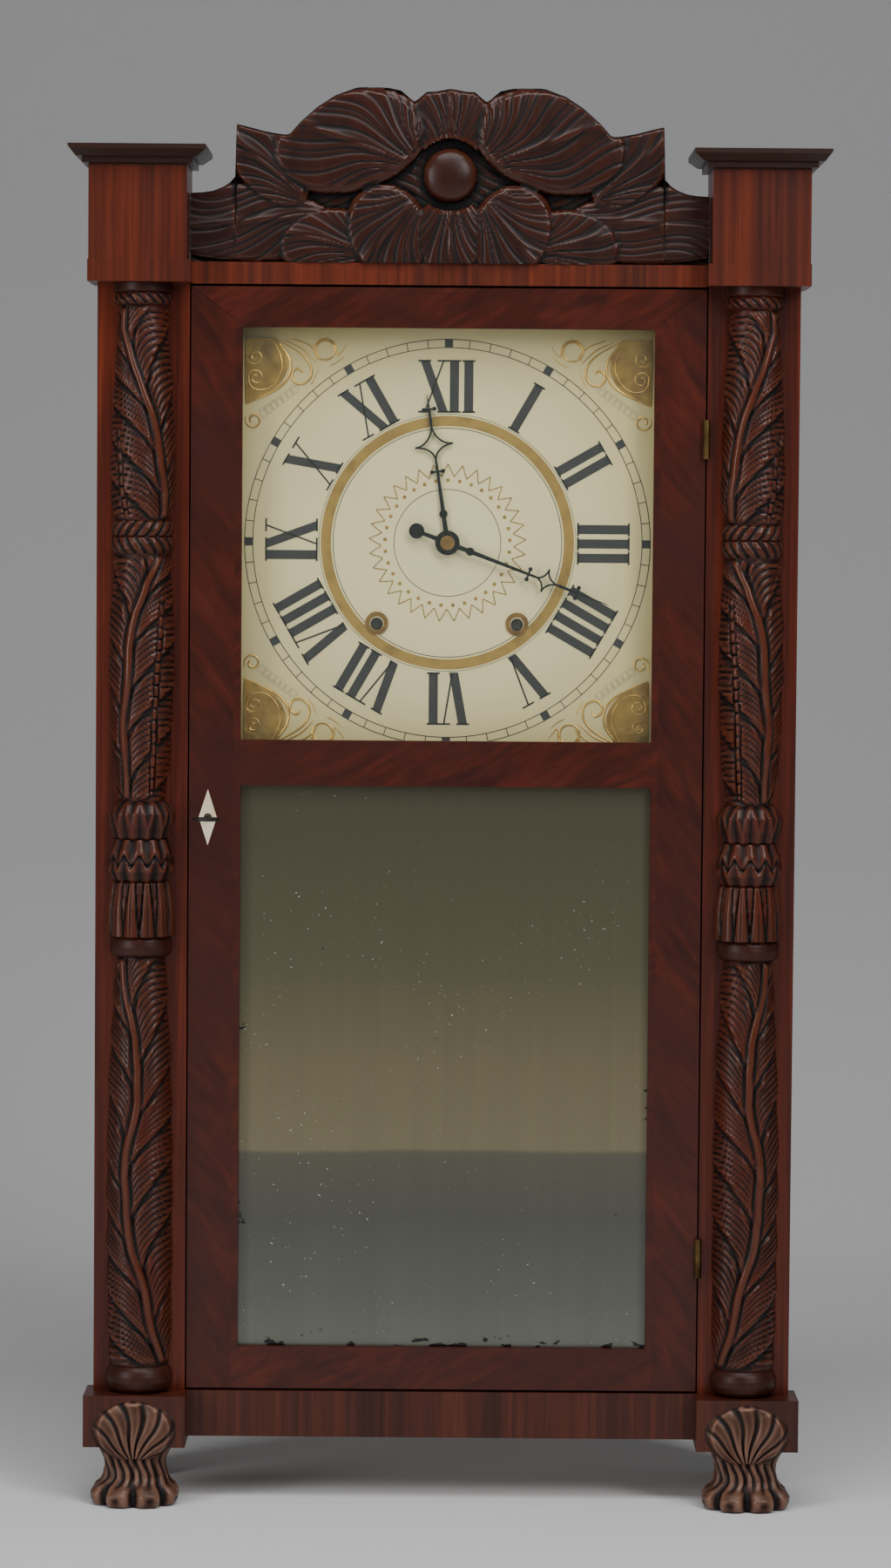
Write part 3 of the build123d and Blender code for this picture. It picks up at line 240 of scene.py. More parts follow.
@dataclass(frozen=True)
class WoodFinish:
    """Varnished or bare wood with long streaks, fine pores and worn sheen."""

    name: str
    dark: Colour
    mid: Colour
    light: Colour
    grain: Grain = Grain.UPRIGHT
    roughness: tuple[float, float] = (0.32, 0.5)
    coat: float = 0.1
    pores: float = 0.00012
    top: float = 9.0
    front: float = -9.0

    def material(self) -> bpy.types.Material:
        """Builds the wood's node material.

        Returns:
            The material.
        """
        shade = Shader(
            self.name, Coat_Weight=self.coat, Coat_Roughness=0.25, IOR=1.46, Specular_IOR_Level=0.35
        )
        x, y, z = self.grain.value
        broad = shade.noise(shade.stretch((x * 0.35, y * 0.35, z * 0.35)), 1.0, 3.0, 0.6)
        streak = shade.noise(shade.stretch((x * 2.6, y * 2.6, z)), 1.0, 7.0, 0.4)
        fine = shade.noise(shade.stretch((x * 11, y * 11, z * 4)), 1.0, 3.0)
        body = shade.plus(shade.times(broad, 0.5), shade.times(streak, 0.5))
        colour = shade.ramp(body, [(0.36, self.dark), (0.5, self.mid), (0.64, self.light)])
        pore = shade.gate(fine, 0.34, 0.46)
        colour = shade.blend(pore, shade.blend(0.4, colour, rgba(self.dark)), colour)
        place = shade.add("ShaderNodeSeparateXYZ", {0: shade.place}).outputs
        above = shade.gate(place["Z"], self.top, self.top + 0.0008)
        colour = shade.blend(above, colour, rgba((46, 28, 21)))
        ahead = shade.gate(place["Y"], self.front, self.front - 0.0005)
        colour = shade.blend(ahead, colour, rgba((52, 49, 46)))
        shade.join(colour, "Base Color")
        low, high = self.roughness
        shade.sheen(broad, high, low)
        shade.relief(fine, self.pores)
        return shade.material


@dataclass(frozen=True)
class CarvedFinish:
    """Dark stained carving, with painted shade deep in the cuts and a painted highlight on the glossy ridges.

    The pattern reads the piece's own relief attribute, 0 in a cut and 1 on a ridge: painted shade where it is low,
    and painted highlight where it is high, partly real rubbed wear.
    """

    name: str = "carved_mahogany"
    # The painted shade colour deep in the cuts.
    cut: Colour = (16, 8, 6)
    body: Colour = (52, 25, 17)
    # The painted highlight colour on the ridges, with real rubbed wear.
    ridge: Colour = (84, 47, 34)
    warm: Colour = (78, 30, 14)
    # How strongly the random warm patches of rubbed wear show.
    rub: float = 1.0

    def material(self) -> bpy.types.Material:
        """Builds the carving's node material.

        Returns:
            The material.
        """
        shade = Shader(self.name, Coat_Weight=0.04, Coat_Roughness=0.3, IOR=1.46, Specular_IOR_Level=0.28)
        # Painted shade and highlight by relief: low in the cuts, high on the ridges.
        rub = shade.add("ShaderNodeAttribute", attribute_name="rub").outputs["Fac"]
        streak = shade.noise(shade.stretch(Grain.CARVED.value), 2.0, 6.0, 0.5)
        patch = shade.noise(shade.place, 28.0, 3.0, 0.4)
        fine = shade.noise(shade.stretch((500, 500, 90)), 1.0, 3.0)
        # Painted shade darkens the cuts and painted highlight lightens the ridges, with streaks mixed in.
        shade_and_streak = shade.plus(rub, shade.times(shade.minus(streak, 0.5), 0.45))
        colour = shade.ramp(shade_and_streak, [(0.18, self.cut), (0.5, self.body), (0.95, self.ridge)])
        glow = shade.times(shade.gate(patch, 0.5, 0.72), 0.6 * self.rub)
        colour = shade.blend(glow, colour, rgba(self.warm))
        # Painted shadow: the deepest cuts take the cut colour.
        shadow = shade.gate(rub, 0.05, 0.4)
        colour = shade.blend(shadow, rgba(self.cut), colour)
        shade.join(colour, "Base Color")
        shade.join(shade.gate(shade.minus(1.35, rub), 0.0, 1.9), "Roughness")
        shade.relief(fine, 0.00015)
        return shade.material


@dataclass(frozen=True)
class DoorVeneer:
    """The door frame's crotch veneer, its figure slanting and mitred at the corners."""

    light_half: float
    light_top: float
    rise: float
    run: float
    name: str = "door_veneer"
    dark: Colour = (48, 19, 12)
    mid: Colour = (62, 25, 16)
    light: Colour = (78, 31, 19)

    def figure(self, shade: Shader, turn: float, level: bool) -> bpy.types.NodeSocket:
        """One direction of the figure.

        Args:
            shade: the material being built.
            turn: the slant of the figure in radians.
            level: whether the board lies level, as a rail does.

        Returns:
            The figure's colour.
        """
        stretch = (16, 40, 70) if level else (55, 40, 12)
        bands = shade.noise(shade.stretch(stretch, turn), 1.0, 4.0, 1.2)
        hair = shade.noise(shade.stretch(tuple(4.5 * s for s in stretch), turn), 1.0, 5.0, 0.3)
        both = shade.plus(shade.times(bands, 0.62), shade.times(hair, 0.38))
        return shade.ramp(both, [(0.36, self.dark), (0.5, self.mid), (0.66, self.light)])

    def material(self) -> bpy.types.Material:
        """Builds the veneer's node material.

        Returns:
            The material.
        """
        shade = Shader(self.name, Coat_Weight=0.12, Coat_Roughness=0.22, IOR=1.46, Specular_IOR_Level=0.35)
        xyz = shade.add("ShaderNodeSeparateXYZ", {0: shade.place}).outputs
        out = shade.minus(shade.math("ABSOLUTE", xyz["X"]), self.light_half)
        up = shade.minus(xyz["Z"], self.light_top)
        beyond = shade.minus(shade.times(up, self.run), shade.times(out, self.rise))
        inside = shade.math("LESS_THAN", out, 0.0)
        rail = shade.math("MAXIMUM", shade.math("GREATER_THAN", beyond, 0.0), inside)
        upright = self.figure(shade, 0.62, False)
        colour = shade.blend(rail, upright, self.figure(shade, 0.5, True))
        seam = shade.math("LESS_THAN", shade.math("ABSOLUTE", beyond), 0.000012)
        outside = shade.math("GREATER_THAN", out, 0.0)
        colour = shade.blend(shade.times(shade.times(seam, outside), 0.75), colour, rgba((22, 10, 8)))
        cloud = shade.noise(shade.place, 9.0, 3.0, 0.5)
        colour = shade.blend(shade.gate(cloud, 0.45, 0.75), colour, rgba((56, 23, 16)))
        shade.join(colour, "Base Color")
        shade.sheen(cloud, 0.3, 0.48)
        shade.relief(shade.noise(shade.stretch((420, 420, 120), 0.6), 1.0, 3.0), 0.0001)
        return shade.material


@dataclass(frozen=True)
class MetalFinish:
    """Plain metal with tarnish clouds and fine scratches."""

    name: str
    colour: Colour
    tarnish: Colour
    roughness: tuple[float, float] = (0.3, 0.55)
    metallic: float = 1.0

    def material(self) -> bpy.types.Material:
        """Builds the metal's node material.

        Returns:
            The material.
        """
        shade = Shader(self.name, Metallic=self.metallic)
        cloud = shade.noise(shade.place, 90.0, 5.0, 0.4)
        shade.join(shade.ramp(cloud, [(0.3, self.tarnish), (0.7, self.colour)]), "Base Color")
        low, high = self.roughness
        shade.sheen(cloud, high, low)
        shade.relief(shade.noise(shade.place, 900.0, 3.0), 0.00005)
        return shade.material


@dataclass(frozen=True)
class PaintFinish:
    """Old paint, mottled and a little crazed."""

    name: str
    colour: Colour
    soiled: Colour
    roughness: float = 0.5
    scale: float = 14.0

    def material(self) -> bpy.types.Material:
        """Builds the paint's node material.

        Returns:
            The material.
        """
        shade = Shader(self.name, Roughness=self.roughness)
        cloud = shade.noise(shade.place, self.scale, 6.0, 0.3)
        fleck = shade.gate(shade.noise(shade.place, 700.0, 2.0), 0.68, 0.74)
        colour = shade.ramp(cloud, [(0.3, self.soiled), (0.55, self.colour)])
        shade.join(shade.blend(shade.times(fleck, 0.25), colour, rgba(self.soiled)), "Base Color")
        shade.relief(shade.noise(shade.place, 420.0, 4.0), 0.00006)
        return shade.material


@dataclass(frozen=True)
class PaperFinish:
    """The studio's paper sweep, with painted light: lighter on the floor towards the front, and painted shade
    greying it as it rises behind.
    """

    name: str = "studio_paper"

    def material(self) -> bpy.types.Material:
        """Builds the paper's node material.

        Returns:
            The material.
        """
        shade = Shader(self.name, Roughness=0.8)
        place = shade.add("ShaderNodeSeparateXYZ", {0: shade.place}).outputs
        # Painted light: the floor is lighter towards the front, and painted shade darkens the sweep as it rises.
        near = shade.gate(place["Y"], 0.6, -0.6)
        far = shade.gate(place["Z"], 0.02, 1.0)
        ground = shade.blend(near, rgba((204, 204, 205)), rgba((230, 230, 231)))
        rising = shade.ramp(far, [(0.0, (204, 204, 205)), (0.3, (182, 182, 183)), (1.0, (170, 170, 171))])
        up = shade.math("GREATER_THAN", place["Z"], 0.02)
        shade.join(shade.blend(up, ground, rising), "Base Color")
        shade.relief(shade.noise(shade.place, 60.0, 3.0), 0.0001)
        return shade.material


@dataclass(frozen=True)
class DialFinish:
    """The dial's cream ground, darker and browner towards its edges and faintly cross-hatched."""

    centre: tuple[float, float, float]
    name: str = "dial_ground"

    def material(self) -> bpy.types.Material:
        """Builds the dial ground's node material.

        Returns:
            The material.
        """
        shade = Shader(self.name, Roughness=0.42)
        away = shade.add(
            "ShaderNodeVectorMath", {0: shade.place, 1: self.centre}, operation="DISTANCE"
        ).outputs["Value"]
        ground = shade.ramp(shade.gate(away, 0.0, 0.19), [
            (0.0, (224, 214, 164)), (0.5, (214, 202, 148)), (0.8, (188, 173, 114)), (1.0, (142, 124, 70))
        ])
        cloud = shade.gate(shade.noise(shade.place, 11.0, 6.0, 0.4), 0.42, 0.72)
        colour = shade.blend(shade.times(cloud, 0.35), ground, rgba((196, 184, 142)))
        weave = shade.noise(shade.stretch((60, 60, 900)), 1.0, 2.0)
        colour = shade.blend(shade.times(shade.gate(weave, 0.5, 0.8), 0.12), colour, rgba((170, 160, 120)))
        shade.join(colour, "Base Color")
        shade.relief(shade.noise(shade.stretch((700, 700, 90)), 1.0, 3.0), 0.00004)
        return shade.material


@dataclass(frozen=True)
class MirrorFinish:
    """Old silvering with a painted reflection: its tone drifts down the pane with a painted horizon, and it has
    streaks, specks and bare black edges.
    """

    low: float
    high: float
    half: float
    name: str = "old_silvering"

    def material(self) -> bpy.types.Material:
        """Builds the mirror's node material.

        Returns:
            The material.
        """
        shade = Shader(self.name, Metallic=0.55, IOR=1.5, Coat_Weight=0.4, Coat_Roughness=0.06)
        xyz = shade.add("ShaderNodeSeparateXYZ", {0: shade.place}).outputs
        wander = shade.times(shade.minus(shade.noise(shade.place, 7.0, 3.0), 0.5), 0.008)
        # Painted reflection: the tone by height, with its sharp step at about a third, paints the reflected studio
        # and its horizon.
        rise = shade.gate(shade.plus(xyz["Z"], wander), self.low, self.high)
        tone = shade.ramp(
            rise,
            [
                (0.0, (104, 106, 96)),
                (0.1, (90, 91, 84)),
                (0.24, (78, 78, 70)),
                (0.35, (88, 86, 72)),
                (0.356, (118, 111, 84)),
                (0.5, (114, 107, 80)),
                (0.68, (96, 92, 72)),
                (1.0, (86, 82, 66)),
            ],
        )
        streak = shade.gate(shade.noise(shade.stretch((90, 40, 3)), 1.0, 5.0, 0.3), 0.3, 0.75)
        tone = shade.blend(shade.times(streak, 0.16), tone, rgba((62, 60, 50)))
        speck = shade.gate(shade.noise(shade.place, 520.0, 2.0), 0.735, 0.75)
        drift = shade.gate(shade.noise(shade.place, 16.0, 3.0), 0.5, 0.62)
        tone = shade.blend(shade.times(speck, drift), tone, rgba((205, 205, 196)))
        edge_x = shade.gate(shade.math("ABSOLUTE", xyz["X"]), self.half - 0.012, self.half)
        edge_z = shade.gate(xyz["Z"], self.low + 0.02, self.low + 0.002)
        bare = shade.math("MAXIMUM", shade.times(edge_x, 0.8), edge_z)
        blot = shade.noise(shade.stretch((90, 90, 150)), 1.0, 5.0, 0.5)
        lost = shade.gate(shade.plus(shade.times(bare, 0.22), blot), 0.76, 0.79)
        tone = shade.blend(lost, tone, rgba((16, 14, 12)))
        rim = shade.gate(shade.math("ABSOLUTE", xyz["X"]), self.half - 0.004, self.half - 0.001)
        tone = shade.blend(shade.times(rim, 0.5), tone, rgba((150, 150, 138)))
        shade.join(tone, "Base Color")
        shade.sheen(streak, 0.3, 0.36)
        return shade.material


@dataclass(frozen=True)
class CordFinish:
    """Plied linen line."""

    name: str = "linen_line"

    def material(self) -> bpy.types.Material:
        """Builds the line's node material.

        Returns:
            The material.
        """
        shade = Shader(self.name, Roughness=0.85)
        ply = shade.noise(shade.stretch((300, 300, 900)), 1.0, 3.0)
        shade.join(shade.ramp(ply, [(0.35, (92, 78, 54)), (0.65, (160, 142, 104))]), "Base Color")
        shade.relief(ply, 0.0002)
        return shade.material


@dataclass(frozen=True)
class GlassFinish:
    """Thin old window glass: nearly clear, with a soft reflection."""

    name: str = "window_glass"

    def material(self) -> bpy.types.Material:
        """Builds the glass's node material.

        Returns:
            The material.
        """
        shade = Shader(
            self.name, Base_Color=rgba((190, 205, 195)), Roughness=0.04, IOR=1.3, Alpha=0.03,
            Specular_IOR_Level=0.3,
        )
        shade.relief(shade.noise(shade.place, 9.0, 2.0), 0.0004)
        shade.material.surface_render_method = "BLENDED"
        return shade.material


def paint(obj: bpy.types.Object, material: bpy.types.Material) -> None:
    """Gives an object one material in all of its slots.

    Args:
        obj: the object.
        material: its material.
    """
    if not obj.material_slots:
        obj.data.materials.append(material)
    for place in obj.material_slots:
        place.material = material


def clear() -> None:
    """Leaves edit mode and deselects everything."""
    if bpy.context.object and bpy.context.object.mode != "OBJECT":
        bpy.ops.object.mode_set(mode="OBJECT")
    bpy.ops.object.select_all(action="DESELECT")


def pick(obj: bpy.types.Object) -> None:
    """Selects one object alone and makes it active.

    Args:
        obj: the object to select.
    """
    clear()
    obj.select_set(True)
    bpy.context.view_layer.objects.active = obj


def settle(obj: bpy.types.Object, name: str, smooth: float = 0.6) -> bpy.types.Object:
    """Names a piece, moves its place into its mesh and smooths its shallow edges.

    Args:
        obj: the modelled piece.
        name: its name.
        smooth: the steepest angle between faces that is still smooth, in radians.

    Returns:
        The same piece.
    """
    pick(obj)
    bpy.ops.object.transform_apply(location=True, rotation=True, scale=True)
    bpy.ops.object.shade_smooth_by_angle(angle=smooth)
    obj.name = name
    obj.data.name = name
    return obj


def hand_over(obj: bpy.types.Object, body: str, slot: str, material: bpy.types.Material, *nodes: str) -> None:
    """Puts a finished piece on its body, with its finish and the nodes it stands for.

    Args:
        obj: the piece.
        body: the body it moves with.
        slot: its material slot in the record; not used.
        material: its finish.
        nodes: the plain nodes it replaces.
    """
    paint(obj, material)
    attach(obj, body)
    if nodes:
        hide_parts(*nodes)
    log.info("%s on %s: %d faces", obj.name, body, len(obj.data.polygons))


def merge_and_close(obj: bpy.types.Object) -> None:
    """Merges doubled vertices, fills what is open and turns all faces outwards.

    Args:
        obj: the piece to close.
    """
    pick(obj)
    bpy.ops.object.mode_set(mode="EDIT")
    bpy.ops.mesh.select_all(action="SELECT")
    bpy.ops.mesh.remove_doubles(threshold=0.00002)
    bpy.ops.mesh.select_all(action="DESELECT")
    bpy.ops.mesh.select_mode(type="EDGE")
    bpy.ops.mesh.select_non_manifold(
        extend=False, use_wire=False, use_multi_face=False, use_non_contiguous=False, use_verts=False
    )
    bpy.ops.mesh.edge_face_add()
    bpy.ops.mesh.select_all(action="SELECT")
    bpy.ops.mesh.normals_make_consistent(inside=False)
    bpy.ops.mesh.select_mode(type="VERT")
    bpy.ops.object.mode_set(mode="OBJECT")


def soften(values: np.ndarray, reach: int) -> np.ndarray:
    """Averages a height field over a square of cells, reach cells each way.

    Args:
        values: the height field.
        reach: how many cells count each way.

    Returns:
        The averaged field.
    """
    total = np.zeros_like(values)
    padded = np.pad(values, reach, mode="edge")
    rows, cols = values.shape
    for down in range(2 * reach + 1):
        for right in range(2 * reach + 1):
            total += padded[down : down + rows, right : right + cols]
    return total / (2 * reach + 1) ** 2


def carve_sheet(name: str, at: np.ndarray, height: np.ndarray, reach: int = 3) -> bpy.types.Object:
    """A fine grid laid on carved points, with painted shade and highlight from its relief stored on it.

    Args:
        name: the piece's name.
        at: the points in metres, as rows by columns by three.
        height: the carving's height in millimetres at each point.
        reach: how many cells around count as a ridge's surroundings.

    Returns:
        The open sheet as an object.
    """
    rows, cols = height.shape
    clear()
    bpy.ops.mesh.primitive_grid_add(x_subdivisions=cols - 1, y_subdivisions=rows - 1, size=1)
    sheet = bpy.context.object
    sheet.name = name
    sheet.data.vertices.foreach_set("co", at.reshape(-1).astype(np.float32))
    # Painted shade and highlight: points below their surroundings are dark, points above them are light.
    rub = np.clip(0.5 + (height - soften(height, reach)) * 0.85, 0.0, 1.0)
    store = sheet.data.attributes.new("rub", "FLOAT", "POINT")
    store.data.foreach_set("value", rub.reshape(-1).astype(np.float32))
    sheet.data.update()
    return sheet


def grooves(angle: np.ndarray, count: float, width: float = 0.16) -> np.ndarray:
    """Narrow cuts from 0 to 1, count of them for each unit of angle."""
    phase = np.abs((angle * count) % 1.0 - 0.5)
    return np.exp(-((phase / width) ** 2))


@dataclass
class Petal:
    """One leaf of the crest: an oval with veins that fan from its root, in mm from the splat's foot."""

    centre: Point
    half: Point
    lean: float
    root: Point
    lift: float
    rise: float
    veins: float

    def height(self, x: np.ndarray, z: np.ndarray) -> np.ndarray:
        """The petal's height over each point, or nothing outside it.

        Args:
            x: the points' places across, in mm.
            z: their places up, in mm.

        Returns:
            The height in mm, far below the ground outside the petal.
        """
        turn = radians(self.lean)
        dx, dz = x - self.centre[0], z - self.centre[1]
        u = (dx * cos(turn) + dz * sin(turn)) / self.half[0]
        v = (-dx * sin(turn) + dz * cos(turn)) / self.half[1]
        rim = np.sqrt(u * u + v * v)
        axis = atan2(self.centre[1] - self.root[1], self.centre[0] - self.root[0])
        bearing = np.arctan2(z - self.root[1], x - self.root[0]) - axis
        bearing = (bearing + pi) % (2 * pi) - pi
        away = np.hypot(x - self.root[0], z - self.root[1])
        fan = bearing * (1 + 0.16 * np.sin(away / 13.0)) + 0.1 * np.sin(away / 21.0)
        fade = np.clip((away - 4) / 9, 0, 1) * np.clip((1.02 - rim) * 7, 0, 1)
        cut = grooves(fan, self.veins, 0.14) * 0.85 + grooves(fan + 0.05, self.veins / 3, 0.07) * 0.9
        rib = np.exp(-((bearing * away / 2.4) ** 2)) * 1.1
        dome = self.rise * (0.4 + 0.6 * np.clip(1 - rim**2, 0, 1) ** 0.5)
        edge = np.clip((1 - rim) * 9, 0, 1)
        height = self.lift + dome * edge - cut * fade + rib * fade
        return np.where(rim < 1.0, height, -9.0)

    def mirrored(self) -> "Petal":
        """The same petal on the other side of the middle."""
        (x, z), (root_x, root_z) = self.centre, self.root
        return Petal((-x, z), self.half, -self.lean, (-root_x, root_z), self.lift, self.rise, self.veins)


@dataclass
class Crest:
    """The carved splat between the towers, in mm from the middle of its foot."""

    foot: float
    front: float
    back: float
    end: float
    boss_rise: float = 57.0
    boss_radius: float = 17.5
    outline: tuple[Point, ...] = (
        (0.0, 112.6), (2.7, 112.3), (9.7, 110.9), (15.7, 110.7), (20.5, 106.5), (23.5, 104.6), (27.0, 107.2),
        (32.3, 111.6), (40.0, 113.2), (46.4, 113.6), (60.8, 113.2), (74.7, 108.0), (86.1, 100.6), (97.0, 91.0),
        (104.0, 83.0), (106.5, 82.3), (112.0, 83.0), (121.0, 84.6), (130.0, 87.0), (138.6, 89.0), (139.6, 55.4),
        (143.0, 51.5), (147.0, 48.6), (153.6, 45.9), (160.0, 44.9), (168.5, 44.4),
    )
    petals: tuple[Petal, ...] = (
        Petal((0.0, 92.0), (26.0, 26.0), 0.0, (0.0, 56.0), 2.0, 3.0, 9.5),
        Petal((0.0, 18.0), (23.0, 27.0), 0.0, (0.0, 52.0), 4.0, 3.0, 8.5),
        Petal((66.0, 79.0), (52.0, 33.0), -14.0, (14.0, 60.0), 3.4, 4.4, 8.0),
        Petal((40.0, 20.0), (32.0, 27.0), 66.0, (14.0, 50.0), 3.0, 4.0, 8.0),
        Petal((80.0, 14.0), (32.0, 21.0), -10.0, (46.0, 6.0), 1.6, 3.2, 7.5),
        Petal((121.0, 65.0), (38.0, 19.0), 48.0, (88.0, 38.0), 1.8, 3.0, 7.0),
        Petal((140.0, 26.0), (70.0, 25.0), 4.0, (58.0, 34.0), 0.4, 2.6, 9.0),
    )

    def height(self, x: np.ndarray, z: np.ndarray) -> np.ndarray:
        """The carving's height in mm before the plank's face.

        Args:
            x: the points' places across, in mm.
            z: their places up, in mm.

        Returns:
            The height at each point.
        """
        ground = -2.2 - 0.9 * grooves(z / 20 + np.sin(x / 30), 3.0)
        for petal in self.petals:
            pair = (petal,) if petal.centre[0] == 0 else (petal, petal.mirrored())
            for one in pair:
                ground = np.maximum(ground, one.height(x, z))
        away = np.hypot(x, z - self.boss_rise)
        ground = np.where(away < self.boss_radius + 5.5, np.minimum(ground, -2.6), ground)
        dome = 7.8 * np.sqrt(np.clip(1 - (away / self.boss_radius) ** 2, 0, 1)) - 0.5
        return np.where(away < self.boss_radius, dome, ground)

    def build(self) -> bpy.types.Object:
        """Lays the carved face on the sawn outline, then extrudes and squares its back.

        Returns:
            The crest.
        """
        spots = np.concatenate([np.linspace(0, 138.6, 150), np.linspace(138.8, self.end, 34)])
        xs = np.concatenate([-spots[:0:-1], spots])
        knots = np.array(self.outline)
        tops = np.interp(np.abs(xs), knots[:, 0], knots[:, 1])
        share = np.linspace(0, 1, 118)
        x = np.broadcast_to(xs, (len(share), len(xs)))
        z = share[:, None] * tops[None, :]
        height = self.height(x, z)
        rim = np.minimum(1.0, (tops[None, :] - z) / 1.6)
        height = height * (0.45 + 0.55 * rim)
        at = np.stack([x * MM, self.front - height * MM, self.foot + z * MM], axis=-1)
        crest = carve_sheet("splat_carving", at, height)
        pick(crest)
        bpy.ops.object.mode_set(mode="EDIT")
        bpy.ops.mesh.select_all(action="SELECT")
        bpy.ops.mesh.extrude_region_move(TRANSFORM_OT_translate={"value": (0, 0.03, 0)})
        bpy.ops.object.mode_set(mode="OBJECT")
        for vertex in crest.data.vertices:
            if vertex.select:
                vertex.co.y = self.back
        bpy.ops.object.mode_set(mode="EDIT")
        bpy.ops.mesh.dissolve_faces()
        bpy.ops.mesh.select_all(action="SELECT")
        bpy.ops.mesh.normals_make_consistent(inside=False)
        bpy.ops.object.mode_set(mode="OBJECT")
        return settle(crest, "splat_carving", 1.0)


@dataclass
class Shaft:
    """One carved length of a column: its stem's path and its leaves, in mm; across is to the right."""

    low: float
    high: float
    stem: tuple[Point, ...]
    pitch: float = 30.0
    slope: float = 1.25
    beads: tuple[Point, ...] = ()

    def height(self, across: np.ndarray, z: np.ndarray) -> np.ndarray:
        """The leaves' height in mm at each point of the unrolled shaft.

        Args:
            across: places across the shaft, in mm.
            z: heights above the foot, in mm.

        Returns:
            The height at each point.
        """
        knots = np.array(sorted(self.stem, key=lambda spot: spot[1]))
        middle = np.interp(z, knots[:, 1], knots[:, 0])
        middle = middle + 0.8 * np.sin(z / 9.0)
        off = across - middle
        away = np.abs(off)
        side = np.where(off > 0, 0.0, 0.45)
        climb = z - self.slope * 4.4 * away**0.6
        lobe = (climb / self.pitch + side) % 1.0
        leaf = 0.3 + 2.1 * np.clip((1 - lobe) * 1.15, 0, 1) ** 0.6 * np.clip(lobe * 7, 0, 1)
        vein = grooves(climb + 0.03 * away**1.8, 1 / 4.2, 0.14) * np.clip(away / 4 - 0.7, 0, 1)
        curl = np.exp(-(((lobe - 0.86) / 0.07) ** 2)) * np.exp(-(((away - 9.5) / 3.0) ** 2)) * 1.1
        leafy = leaf - 1.1 * vein + curl
        rib = 2.3 * np.sqrt(np.clip(1 - (away / 3.0) ** 2, 0, 1)) + 0.5
        cut = -0.9 * np.exp(-(((away - 3.7) / 0.8) ** 2))
        height = np.where(away < 3.0, np.maximum(rib, leafy * 0.4), leafy + cut)
        if self.beads:
            line = np.array(sorted(self.beads, key=lambda spot: spot[1]))
            strip = across - np.interp(z, line[:, 1], line[:, 0])
            within = (z > line[0, 1]) & (z < line[-1, 1]) & (np.abs(strip) < 2.4)
            link = 1.7 * np.sqrt(np.clip(1 - (strip / 2.4) ** 2, 0, 1)) * np.clip(
                np.abs(((z / 7.6) % 1.0) - 0.5) * -9 + 4.4, 0, 1
            )
            height = np.where(within, link - 0.2, height)
        return height - 0.9


